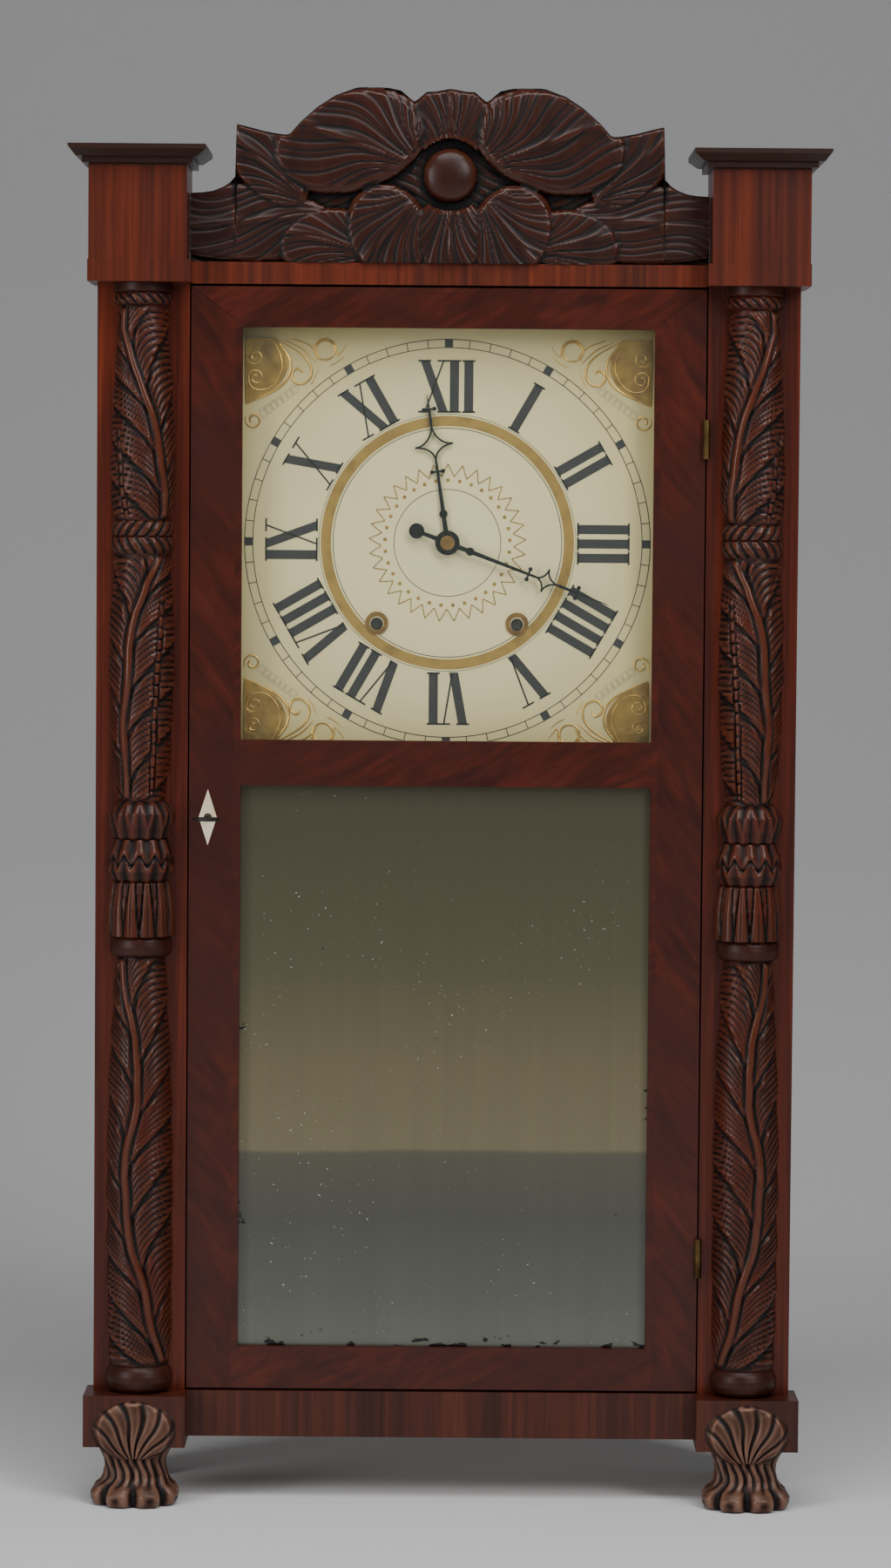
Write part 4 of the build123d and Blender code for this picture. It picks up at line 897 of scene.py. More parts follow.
@dataclass
class Column:
    """A half turned, half carved column: profile radii by height, carved shafts and collars."""

    side: Side
    centre: float
    plane: float
    foot: float
    profile: tuple[Point, ...] = (
        (0.0, 17.0), (1.0, 19.0), (3.0, 21.0), (7.0, 22.0), (11.0, 22.0), (15.0, 20.8), (17.5, 18.6), (18.5, 19.4),
        (60.0, 20.6), (153.0, 21.0), (215.0, 19.6), (286.0, 15.6), (287.0, 18.4), (288.5, 20.0), (293.0, 20.5),
        (297.5, 19.8), (299.0, 18.6), (300.0, 22.2), (318.0, 21.4), (334.0, 18.6), (335.5, 16.8), (337.0, 18.6), (342.0, 21.0),
        (348.0, 21.6), (355.0, 20.4), (361.5, 17.8), (363.0, 17.0), (364.5, 18.8), (374.0, 21.2), (380.0, 21.8),
        (386.0, 18.0), (388.0, 15.0), (420.0, 18.6), (470.0, 20.8), (500.0, 20.6), (548.0, 17.8), (549.5, 18.6),
        (552.0, 20.2), (556.0, 20.5), (559.4, 19.4), (560.2, 18.2), (561.0, 19.4), (565.0, 20.4), (569.0, 19.4),
        (570.5, 17.4), (588.0, 20.4), (640.0, 19.6), (709.0, 15.4), (710.5, 17.6), (713.0, 19.0), (716.5, 18.6),
        (718.0, 17.6), (719.0, 19.2), (724.3, 19.3),
    )
    shafts: tuple[Shaft, ...] = (
        Shaft(19.0, 286.0, (
            (-16, 284), (-10, 258), (-3, 233), (0, 213), (-1, 193), (-6, 168), (-9, 143), (-8, 118), (-3, 93),
            (4, 68), (10, 43), (18, 20),
        ), 34.0, 1.35),
        Shaft(388.5, 548.0, (
            (15, 546), (4, 530), (-3, 512), (-7, 488), (-10, 458), (-12, 430), (-12, 390)
        ), 30.0, 1.1, ((16, 520), (12, 480), (10, 440), (10, 392))),
        Shaft(571.0, 709.0, ((-17, 694), (-1, 662), (6.5, 640), (14, 612), (17.5, 572)), 28.0, 1.2, (
            (-18, 630), (-15, 600), (-11.5, 573)
        )),
    )

    def collars(self, turn: np.ndarray, z: np.ndarray) -> np.ndarray:
        """The three ringed leaf collars' and the twisted rings' height in mm.

        Args:
            turn: angles round the column, in radians.
            z: heights above the foot, in mm.

        Returns:
            The height at each point.
        """
        around = turn * 6 / pi
        wave = np.abs((around % 1.0) - 0.5) * 2
        height = np.zeros_like(z)
        low = (z > 299) & (z < 335.5)
        point = np.clip((z - 299) / 36, 0, 1)
        blade = 1.5 * (1 - wave) - 1.6 * np.exp(
            -(((wave - 1 + 0.55 * point) / 0.09) ** 2)
        ) - 0.8 * grooves(around * 3, 1.0, 0.12) * (1 - wave)
        height = np.where(low, blade - 0.6, height)
        bulge = (z >= 335.5) & (z < 363)
        scallop = 349 + 3.6 * np.cos(around * 2 * pi)
        height = np.where(bulge, 1.3 * np.cos(around * 2 * pi) * np.sign(z - scallop) * 0.6 - 1.7 * np.exp(
            -(((z - scallop) / 1.1) ** 2)
        ), height)
        gem = (z >= 363) & (z < 388)
        rise = (z - 366) / 20
        facet = np.abs(((around + 0.5) % 1.0) - 0.5) * 2
        ridge = 1.9 * (1 - np.abs(facet - np.clip(1.15 - rise, 0, 1))) - 1.3
        height = np.where(gem, ridge, height)
        for bottom, top, hand in ((549, 560, 1), (560.5, 570.5, -1), (710.5, 717.5, 1)):
            ring = (z > bottom) & (z < top)
            twist = grooves(around * 1.4 + hand * (z - bottom) / (top - bottom), 1.0, 0.16)
            height = np.where(ring, 0.35 - 1.5 * twist, height)
        return height

    def build(self) -> bpy.types.Object:
        """Wraps the carved grid round the turning's profile and closes its sawn back.

        Returns:
            The column.
        """
        knots = np.array(self.profile)
        steps = np.unique(np.concatenate([np.arange(0, 724.3, 1.25), knots[:, 0], knots[1:, 0] - 0.01]))
        turns = np.linspace(-pi / 2, pi / 2, 95)
        turn, z = np.meshgrid(turns, steps)
        radius = np.interp(z, knots[:, 0], knots[:, 1])
        across = np.sin(turn) * 21.0 * 0.35 + turn * 21.0 * 0.65
        across = across * -self.side.value
        height = self.collars(turn, z)
        for shaft in self.shafts:
            inside = (z > shaft.low) & (z < shaft.high)
            ends = np.clip(np.minimum(z - shaft.low, shaft.high - z) / 3.0, 0, 1)
            height = np.where(inside, shaft.height(across, z) * ends, height)
        height = height * np.clip((pi / 2 - np.abs(turn)) * 12, 0, 1)
        radius = radius + height
        first, last = np.zeros_like(turns), np.zeros_like(turns)
        radius = np.vstack([first, radius, last])
        z = np.vstack([z[0], z, z[-1]])
        turn = np.vstack([turn[0], turn, turn[-1]])
        height = np.vstack([height[0], height, height[-1]])
        at = np.stack(
            [
                self.centre + radius * np.sin(turn) * MM,
                self.plane - radius * np.cos(turn) * MM,
                self.foot + z * MM,
            ],
            axis=-1,
        )
        name = f"carved_column_{self.side.name.lower()}"
        column = carve_sheet(name, at, height, 4)
        merge_and_close(column)
        return settle(column, name, 1.0)


@dataclass
class PawFoot:
    """A carved paw with its ankle's tufts, and the leaf that laps up over the block."""

    side: Side
    centre: Point
    block_front: float
    back: float
    widths: tuple[Point, ...] = (
        (0.0, 25.5), (1.0, 27.6), (4.0, 28.5), (8.0, 28.3), (11.5, 26.6), (14.0, 23.6), (18.0, 21.4), (24.0, 20.4),
        (29.0, 20.6), (33.0, 22.4), (38.0, 25.2), (40.0, 25.6),
    )
    depths: tuple[Point, ...] = (
        (0.0, 26.0), (1.0, 28.0), (4.0, 28.8), (8.0, 28.0), (11.5, 25.0), (14.0, 22.0), (18.0, 19.4), (24.0, 18.2),
        (29.0, 18.4), (33.0, 20.0), (38.0, 20.6), (40.0, 20.6),
    )
    toe_turns: tuple[float, ...] = (-90.0, -44.0, 0.0, 44.0, 90.0)
    leaf: tuple[Point, ...] = (
        (0.0, 12.0), (3.0, 18.0), (8.0, 23.5), (14.0, 27.0), (20.0, 28.0), (26.0, 26.0), (31.0, 21.0), (35.0, 13.0),
        (37.0, 6.0), (38.0, 1.0),
    )

    def paw(self) -> bpy.types.Object:
        """The paw: rings of flattened sections with toes pushed out at the front.

        Returns:
            The closed paw.
        """
        steps = np.linspace(0, 40, 64)
        turns = np.linspace(-pi, pi, 161)
        turn, z = np.meshgrid(turns, steps)
        wide = np.interp(z, *np.array(self.widths).T)
        deep = np.interp(z, *np.array(self.depths).T)
        power = 2.6
        reach = (np.abs(np.sin(turn) / wide) ** power + np.abs(np.cos(turn) / deep) ** power) ** (-1 / power)
        bend = np.degrees(turn)
        split = np.min([np.abs(bend - spot) for spot in self.toe_turns], axis=0)
        front = np.clip((105 - np.abs(bend)) / 20, 0, 1)
        toe = np.clip(1 - (z - 8) / 8, 0, 1)
        between = np.exp(-((split / 7.5) ** 2)) * front
        knuckle = np.clip(1 - np.abs(z - 7) / 7, 0, 1) * np.clip(split / 20, 0, 1) * front
        tuft = grooves(turn * 3.4 + 0.35 * np.sin(z / 4), 1.0, 0.2) * np.clip((z - 11) / 5, 0, 1)
        claw = np.exp(-(((split - 21) / 4) ** 2)) * np.clip(1 - np.abs(z - 4.5) / 4, 0, 1) * front
        height = 1.5 * knuckle - 4.6 * between * toe - 1.5 * tuft - 1.1 * claw - 1.3 * between * (1 - toe)
        reach = reach + height
        ends = np.zeros_like(turns)
        reach = np.vstack([ends, reach, ends])
        stack = [np.vstack([grid[0], grid, grid[-1]]) for grid in (turn, z, height)]
        turn, z, height = stack
        x, y = self.centre
        at = np.stack([x + reach * np.sin(turn) * MM, y - reach * np.cos(turn) * MM, z * MM], axis=-1)
        paw = carve_sheet("paw", at, height * 0.7, 3)
        merge_and_close(paw)
        return paw

    def leaf_fan(self) -> bpy.types.Object:
        """The leaf: a fan of veined lobes in front of the block, with a flat back.

        Returns:
            The closed leaf.
        """
        rise = np.linspace(0, 38, 70)
        share = np.linspace(-1, 1, 91)
        across, up = np.meshgrid(share, rise)
        half = np.interp(up, *np.array(self.leaf).T)
        x = across * half
        bearing = np.arctan2(x, up + 5)
        away = np.hypot(x, up + 5)
        dome = 5.2 * np.clip(1 - across**4, 0, 1) ** 0.5 * (
            0.55 + 0.45 * np.sin(np.clip(up / 38, 0, 1) * pi) ** 0.6
        )
        cut = 1.5 * grooves(bearing + 0.05 * np.sin(away / 6), 3.2, 0.17) * np.clip(away / 12, 0, 1)
        heart = 1.2 * np.exp(-(((np.abs(bearing) - 0.2) / 0.1) ** 2)) * np.clip(away / 20 - 0.6, 0, 1)
        edge = np.clip((1 - np.abs(across)) * 6, 0, 1) * np.clip((38 - up) / 2.0, 0, 1)
        height = (dome - cut - heart) * edge
        at = np.stack([self.centre[0] + x * MM, self.block_front - height * MM, (31.0 + up) * MM], axis=-1)
        fan = carve_sheet("fan", at, height, 3)
        merge_and_close(fan)
        return fan

    def build(self) -> bpy.types.Object:
        """Joins the paw and its leaf into one foot."""
        name = f"carved_foot_{self.side.name.lower()}"
        return settle(join([self.paw(), self.leaf_fan()], name), name, 1.0)


def flat_plate(corners: list[Point], face: float, name: str = "stroke") -> bpy.types.Object:
    """A flat four-cornered stroke in the front view, in metres, at the depth of face.

    Args:
        corners: its four corners in order.
        face: its depth.
        name: its name.

    Returns:
        The stroke.
    """
    clear()
    bpy.ops.mesh.primitive_plane_add(size=1)
    plate = bpy.context.object
    plate.name = name
    order = (0, 1, 3, 2)
    for index, (x, z) in zip(order, corners):
        plate.data.vertices[index].co = (x, face, z)
    return plate


def ring(centre: Point, face: float, inner: float, outer: float, turns: int = 120) -> bpy.types.Object:
    """A flat ring in the front view: a circle's edge extruded and scaled outwards.

    Args:
        centre: its centre's X and Z in metres.
        face: its depth.
        inner: the inner radius, or 0 for a filled disc.
        outer: the outer radius.
        turns: how many sides.

    Returns:
        The ring.
    """
    clear()
    place = (centre[0], face, centre[1])
    kind = "NGON" if inner == 0 else "NOTHING"
    bpy.ops.mesh.primitive_circle_add(
        vertices=turns, radius=inner or outer, fill_type=kind, location=place, rotation=(pi / 2, 0, 0)
    )
    made = bpy.context.object
    if inner:
        bpy.ops.object.mode_set(mode="EDIT")
        bpy.ops.mesh.select_all(action="SELECT")
        bpy.ops.mesh.extrude_region_move()
        size = outer / inner
        bpy.ops.transform.resize(value=(size, size, size), center_override=place)
        bpy.ops.object.mode_set(mode="OBJECT")
    pick(made)
    bpy.ops.object.transform_apply(location=True, rotation=True, scale=True)
    return made


def join(parts: list[bpy.types.Object], name: str) -> bpy.types.Object:
    """Joins loose parts into one piece.

    Args:
        parts: the parts, the first of which stays active.
        name: the name of the piece.

    Returns:
        The piece.
    """
    pick(parts[0])
    for part in parts[1:]:
        part.select_set(True)
    bpy.ops.object.join()
    joined = bpy.context.object
    joined.name = name
    return joined


def thicken(obj: bpy.types.Object, depth: float) -> bpy.types.Object:
    """Gives flat work its thickness towards the front and turns its faces outwards.

    Args:
        obj: the flat work.
        depth: how far to push it to the front, in metres.

    Returns:
        The same piece.
    """
    pick(obj)
    bpy.ops.object.mode_set(mode="EDIT")
    bpy.ops.mesh.select_all(action="SELECT")
    bpy.ops.mesh.extrude_region_move(TRANSFORM_OT_translate={"value": (0, -depth, 0)})
    bpy.ops.mesh.select_all(action="SELECT")
    bpy.ops.mesh.normals_make_consistent(inside=False)
    bpy.ops.object.mode_set(mode="OBJECT")
    return obj


def wire(
    points: list[tuple[float, float, float]], radius: float, taper: list[float] | None = None, sides: int = 2
) -> bpy.types.Object:
    """A round bent wire along points, thinning by taper, as a closed mesh.

    Args:
        points: its route in metres.
        radius: its radius.
        taper: the share of the radius at each point, or None for an even wire.
        sides: the curve's bevel resolution.

    Returns:
        The wire as a mesh object.
    """
    clear()
    curve = bpy.data.curves.new("wire", "CURVE")
    curve.dimensions = "3D"
    curve.bevel_depth = radius
    curve.bevel_resolution = sides
    curve.use_fill_caps = True
    line = curve.splines.new("NURBS")
    line.points.add(len(points) - 1)
    for index, (spot, point) in enumerate(zip(line.points, points)):
        spot.co = (*point, 1.0)
        spot.radius = taper[index] if taper else 1.0
    line.order_u = 3
    line.use_endpoint_u = True
    obj = bpy.data.objects.new("wire", curve)
    bpy.context.scene.collection.objects.link(obj)
    pick(obj)
    bpy.ops.object.convert(target="MESH")
    return bpy.context.object


@dataclass
class DialArt:
    """The dial's painted numerals and rings and its gilt corners, in mm about the dial's middle."""

    middle: float
    face: float
    corner: float = 133.0
    numeral: tuple[float, float] = (85.0, 119.5)
    band: tuple[float, float] = (127.6, 133.0)
    gold: tuple[float, float] = (76.4, 83.0)
    numerals: tuple[str, ...] = ("XII", "I", "II", "III", "IIII", "V", "VI", "VII", "VIII", "IX", "X", "XI")
    thick: float = 6.0
    thin: float = 1.2
    widths: dict[str, float] = field(default_factory=lambda: {"I": 9.4, "V": 17.0, "X": 17.0})

    def turned(self, u: float, v: float, turn: float) -> Point:
        """A point u across and v out from the middle, at a clock angle, in metres."""
        return (u * cos(turn) + v * sin(turn)) * MM, self.middle + (-u * sin(turn) + v * cos(turn)) * MM

    def stroke(self, low: Point, high: Point, wide: float, turn: float) -> bpy.types.Object:
        """One straight pen stroke from low to high, with level ends.

        Args:
            low: its inner end, across and out, in mm.
            high: its outer end.
            wide: its width in mm.
            turn: its clock angle in radians.

        Returns:
            The stroke.
        """
        half = wide / 2
        spots = (
            (low[0] - half, low[1]), (low[0] + half, low[1]), (high[0] + half, high[1]),
            (high[0] - half, high[1]),
        )
        return flat_plate([self.turned(u, v, turn) for u, v in spots], self.face)

    def letter(self, sign: str, at: float, turn: float) -> list[bpy.types.Object]:
        """One letter's strokes and serifs, centred at an offset across the numeral.

        Args:
            sign: the letter.
            at: the offset in mm.
            turn: the clock angle in radians.

        Returns:
            The strokes.
        """
        low, high = self.numeral
        wide = self.widths[sign] / 2 - 2.2
        made = []
        if sign == "I":
            made += [self.stroke((at, low), (at, high), self.thick, turn)]
            feet = [(at, low), (at, high)]
        elif sign == "V":
            made += [self.stroke((at, low), (at - wide, high), self.thick, turn), self.stroke(
                (at + 0.8, low), (at + wide, high), self.thin, turn
            )]
            feet = [(at - wide, high), (at + wide, high)]
        else:
            made += [self.stroke((at + wide, low), (at - wide, high), self.thick, turn), self.stroke(
                (at - wide, low), (at + wide, high), self.thin, turn
            )]
            feet = [(at - wide, high), (at + wide, high), (at - wide, low), (at + wide, low)]
        for u, v in feet:
            inward = self.thin if v == low else -self.thin
            made.append(self.stroke((u, v), (u, v + inward), 8.6, turn))
        return made

    def ink(self) -> bpy.types.Object:
        """The black work: numerals, the minute band, its blocks and the fine circles.

        Returns:
            The ink as one piece.
        """
        made = []
        for hour, word in enumerate(self.numerals):
            turn = radians(30 * hour)
            across = -sum(self.widths[sign] for sign in word) / 2
            for sign in word:
                made += self.letter(sign, across + self.widths[sign] / 2, turn)
                across += self.widths[sign]
        low, high = self.band
        for minute in range(60):
            wide = 5.4 if minute % 5 == 0 else 0.55
            made.append(self.stroke((0, low), (0, high), wide, radians(6 * minute)))
        for radius, wide in ((low, 0.55), (high, 0.55), (75.0, 0.45), (35.0, 0.4), (84.2, 0.3)):
            made.append(
                ring((0, self.middle), self.face, (radius - wide / 2) * MM, (radius + wide / 2) * MM, 180)
            )
        return thicken(join(made, "dial_ink"), 0.00012)

    def gilt(self) -> bpy.types.Object:
        """The gilt ring, and the ring of dots and points round the hands.

        Returns:
            The gilding as one piece.
        """
        made = [ring((0, self.middle), self.face, self.gold[0] * MM, self.gold[1] * MM, 180)]
        for count in range(33):
            turn = 2 * pi * count / 33
            made.append(ring(self.turned(0, 41, turn), self.face, 0, 1.25 * MM, 12))
            step = pi / 33
            first, tip, last = (
                self.turned(0, 43.5, turn - step), self.turned(0, 51.5, turn),
                self.turned(0, 43.5, turn + step),
            )
            for start, end in ((first, tip), (tip, last)):
                lean = Vector((end[1] - start[1], start[0] - end[0])).normalized() * 0.00032
                corners = [(start[0] - lean[0], start[1] - lean[1]), (
                    start[0] + lean[0], start[1] + lean[1]
                ), (end[0] + lean[0], end[1] + lean[1]), (end[0] - lean[0], end[1] - lean[1])]
                made.append(flat_plate(corners, self.face))
        return thicken(join(made, "dial_gilding"), 0.00018)

    def corner_spot(
        self, p: float, q: float, sign: tuple[int, int], proud: float
    ) -> tuple[float, float, float]:
        """A point p along and q in from the corner of the dial's gilt work."""
        x, z = self.corner - p, self.corner - q
        return sign[0] * x * MM, self.face - proud * MM, self.middle + sign[1] * z * MM

    def spiral(self, centre: Point, sizes: Point, start: float, turns: float) -> list[Point]:
        """Points of a scroll's spiral, from its eye outwards.

        Args:
            centre: its eye.
            sizes: its first and last radius.
            start: its first angle in radians.
            turns: how many turns it makes.

        Returns:
            The points.
        """
        steps = np.linspace(0, 1, 22)
        sweep = [(sizes[0] + (sizes[1] - sizes[0]) * s, start + turns * 2 * pi * s) for s in steps]
        return [(centre[0] + r * cos(a), centre[1] + r * sin(a)) for r, a in sweep]

    def gilt_field(self, sign: tuple[int, int]) -> bpy.types.Object:
        """The domed gilt field behind one corner's scrolls.

        Args:
            sign: the corner, as signs across and up.

        Returns:
            The field as a thin closed piece.
        """
        turns = np.linspace(0, pi / 2, 49)
        turn, share = np.meshgrid(turns, np.linspace(0.02, 1, 30))
        reach = np.interp(turn, np.radians([0, 20, 35, 50, 65, 90]), [19.5, 28, 34, 37, 39, 43]) * share
        rise = 0.25 + 0.7 * np.sin(np.clip(share, 0, 1) * pi) ** 0.5 + 0.12 * np.sin(reach * 0.9)
        p, q = reach * np.cos(turn), reach * np.sin(turn)
        at = np.stack([
            sign[0] * (self.corner - p) * MM, self.face - rise * MM,
            self.middle + sign[1] * (self.corner - q) * MM,
        ], axis=-1)
        made = carve_sheet("gilt_field", at, rise * 2)
        return thicken(made, -0.0002)

    def scrolls(self) -> bpy.types.Object:
        """The raised scrolls and gilt fields of the four corners.

        Returns:
            The corners as one piece.
        """
        made = []
        paths = (
            (self.spiral((6.2, 12.2), (1.2, 5.6), 0.6, 1.35), 0.62),
            (self.spiral((6.6, 26.0), (1.2, 5.6), 5.4, -1.3) + [
                (3, 33), (12, 34.5), (19, 30.5), (23.5, 23), (24.5, 16), (22, 8), (18.5, 2.5)
            ], 0.62),
            ([(23, 5), (28, 11), (30, 18), (28.5, 26), (22, 33), (12, 38), (1, 43)], 0.8),
            ([
                (37, 22.5), (36, 19.2), (31.5, 21), (30, 25.5), (33, 30), (38.5, 30), (43, 26), (43.5, 19),
                (39, 12), (30, 6), (22, 2),
            ], 0.75),
            ([(26, 2), (34, 5), (41, 10), (46, 16)], 0.5),
            ([(30, 0.5), (38, 2.5), (45, 7), (49, 12)], 0.5),
            ([(44, 4), (48, 9), (46, 14.5)], 0.45),
            (self.spiral((52, 7.6), (6.0, 7.6), 3.4, 1.5) + [(60, 12), (63.5, 8), (66, 4)], 0.6),
            ([(55, 18), (60.5, 16), (64.5, 11.5)], 0.4),
            ([(43, 30), (46, 26), (47.5, 20)], 0.4),
            (self.spiral((5.6, 53.5), (2.2, 5.8), 2.4, 1.2), 0.65),
        )
        for sign in ((1, 1), (-1, 1), (1, -1), (-1, -1)):
            made.append(self.gilt_field(sign))
            for spots, radius in paths:
                taper = list(
                    np.interp(np.linspace(0, 1, len(spots)), [0, 0.1, 0.75, 1], [0.7, 1.0, 1.0, 0.4])
                )
                proud = 0.75 if max(spot[0] + spot[1] for spot in spots) < 52 else 0.1
                made.append(wire([self.corner_spot(p, q, sign, proud) for p, q in spots], radius * MM, taper))
        return join(made, "dial_corners")

    def pencilling(self) -> bpy.types.Object:
        """The fine grey spirals drawn between each corner and the minute band.

        Returns:
            The spirals as one piece.
        """
        made = []
        for sign in ((1, 1), (-1, 1), (1, -1), (-1, -1)):
            for place in range(7):
                share = place / 6
                centre = (12 + 20 * share, 49 - 15 * share)
                spots = self.spiral(centre, (1.6, 3.6), 1.0 + share, 1.7)
                made.append(wire([self.corner_spot(p, q, sign, -0.02) for p, q in spots], 0.13 * MM, None, 0))
        return join(made, "dial_pencilling")

    def winding_rings(self) -> bpy.types.Object:
        """The turned brass rings round the two winding holes."""
        made = [
            ring((side * 0.046, self.middle - 0.053), self.face, 4.6 * MM, 7.6 * MM, 40) for side in (-1, 1)
        ]
        return thicken(join(made, "winding_rings"), 0.0008)

    def build(self, finishes: dict[str, bpy.types.Material]) -> None:
        """Makes and hands over every layer of the dial's work.

        Args:
            finishes: the clock's finishes by name.
        """
        for made, finish, slot in (
            (self.ink(), "ink", "painted_dial"),
            (self.gilt(), "gold_paint", "painted_dial"),
            (self.scrolls(), "gilt", "painted_dial"),
            (self.pencilling(), "pencil", "painted_dial"),
            (self.winding_rings(), "brass", "brass"),
        ):
            hand_over(settle(made, made.name), "case", slot, finishes[finish])


@dataclass
class Hand:
    """One flat blued hand with an open diamond, in mm; its clock angle in degrees."""

    name: str
    angle: float
    length: float
    middle: float
    face: float
    depth: float
    diamond: tuple[float, float, float]
    bars: tuple[float, ...]
    ball: float
    tail: float = 0.0
    hub: float = 8.1

    def spot(self, u: float, v: float) -> Point:
        """A point u across and v along the hand, in metres."""
        turn = radians(self.angle)
        return (u * cos(turn) + v * sin(turn)) * MM, self.middle + (-u * sin(turn) + v * cos(turn)) * MM

    def bar(self, low: Point, high: Point, wide: float, tip: float) -> bpy.types.Object:
        """A flat bar between two points, from one width to another.

        Args:
            low: its inner end, across and along the hand, in mm.
            high: its outer end.
            wide: its width at the inner end.
            tip: its width at the outer end.

        Returns:
            The bar.
        """
        way = Vector((high[0] - low[0], high[1] - low[1])).normalized()
        side = Vector((way[1], -way[0]))
        corners = [
            (low[0] - side[0] * wide / 2, low[1] - side[1] * wide / 2),
            (low[0] + side[0] * wide / 2, low[1] + side[1] * wide / 2),
            (high[0] + side[0] * tip / 2, high[1] + side[1] * tip / 2),
            (high[0] - side[0] * tip / 2, high[1] - side[1] * tip / 2),
        ]
        return flat_plate([self.spot(u, v) for u, v in corners], self.face)

    def build(self, steel: bpy.types.Material) -> None:
        """Cuts the hand's outline, gives it its thickness and replaces the plain hand.

        Args:
            steel: its finish.
        """
        low, high, half = self.diamond
        wide = low + (high - low) * 0.42
        made = [ring((0, self.middle), self.face, 3.4 * MM, self.hub * MM, 48)]
        made += [self.bar((0, self.hub - 1), (0, self.bars[0] - 2), 3.2, 1.9)]
        made += [self.bar((0, self.bars[0] - 2), (0, low), 1.9, 1.6), self.bar(
            (0, high), (0, self.length), 2.2, 0.5
        )]
        for side in (-1, 1):
            turns = np.linspace(0, pi / 2, 11)
            lower = [(side * half * (1 - cos(t)), low + (wide - low) * sin(t)) for t in turns]
            upper = [(side * half * (1 - sin(t)), high - (high - wide) * cos(t)) for t in turns]
            for route in (lower, upper):
                made += [self.bar(a, b, 1.25, 1.25) for a, b in zip(route, route[1:])]
        for bar in self.bars:
            made.append(self.bar((-3.2, bar), (3.2, bar), 1.4, 1.4))
            made += [ring(self.spot(u, bar), self.face, 0, 1.4 * MM, 16) for u in (-3.6, 3.6)]
        made.append(ring(self.spot(0, self.ball), self.face, 0, 2.8 * MM, 24))
        if self.tail:
            made += [self.bar((0, -self.hub + 1), (0, -self.tail), 3.2, 2.2), ring(
                self.spot(0, -self.tail), self.face, 0, 5.1 * MM, 32
            )]
        plate = thicken(join(made, "plate"), self.depth)
        hand = settle(join([plate, self.arbor()], "plate"), f"{self.name}_plate")
        hand_over(hand, self.name, "blued_steel", steel, self.name)

    def arbor(self) -> bpy.types.Object:
        """A copy of the plain hand's tube, pinion and hub, with its blade cut off.

        Returns:
            The closed copy.
        """
        clear()
        source = bpy.data.objects[self.name]
        made = source.copy()
        made.data = source.data.copy()
        for key in list(made.keys()):
            del made[key]
        made.parent = None
        bpy.context.scene.collection.objects.link(made)
        pick(made)
        bpy.ops.object.mode_set(mode="EDIT")
        bpy.ops.mesh.select_all(action="SELECT")
        bpy.ops.mesh.remove_doubles(threshold=0.00001)
        bpy.ops.mesh.select_all(action="DESELECT")
        bpy.ops.object.mode_set(mode="OBJECT")
        for vertex in made.data.vertices:
            away = (vertex.co.x**2 + (vertex.co.z - self.middle) ** 2) ** 0.5
            vertex.select = away > (self.hub + 0.4) * MM and vertex.co.y < self.face + 0.0004
        bpy.ops.object.mode_set(mode="EDIT")
        bpy.ops.mesh.delete(type="VERT")
        bpy.ops.object.mode_set(mode="OBJECT")
        merge_and_close(made)
        return made


@dataclass
class Rope:
    """A twisted line of three strands along a route, in metres."""

    name: str
    body: str
    node: str
    route: list[tuple[float, float, float]]
    radius: float = 0.00075
    lay: float = 0.006

    def build(self, finish: bpy.types.Material) -> bpy.types.Object:
        """Twists three strands round the route and stands them for the plain line.

        Args:
            finish: its finish.

        Returns:
            The rope.
        """
        points = [Vector(point) for point in self.route]
        spots, run = [], 0.0
        for start, end in zip(points, points[1:]):
            way = end - start
            count = max(2, int(way.length / (self.lay / 6)))
            spots += [(
                start + way * (step / count), way.normalized(), run + way.length * step / count
            ) for step in range(count)]
            run += way.length
        spots.append((points[-1], (points[-1] - points[-2]).normalized(), run))
        strands = []
        for strand in range(3):
            route = []
            for spot, way, along in spots:
                side = way.cross(Vector((0, 1, 0))).normalized()
                other = way.cross(side)
                turn = 2 * pi * (along / self.lay + strand / 3)
                route.append(tuple(spot + (side * cos(turn) + other * sin(turn)) * self.radius * 0.45))
            strands.append(wire(route, self.radius * 0.55, sides=0))
        rope = settle(join(strands, self.name), self.name)
        hand_over(rope, self.body, "cord", finish, self.node)
        return rope


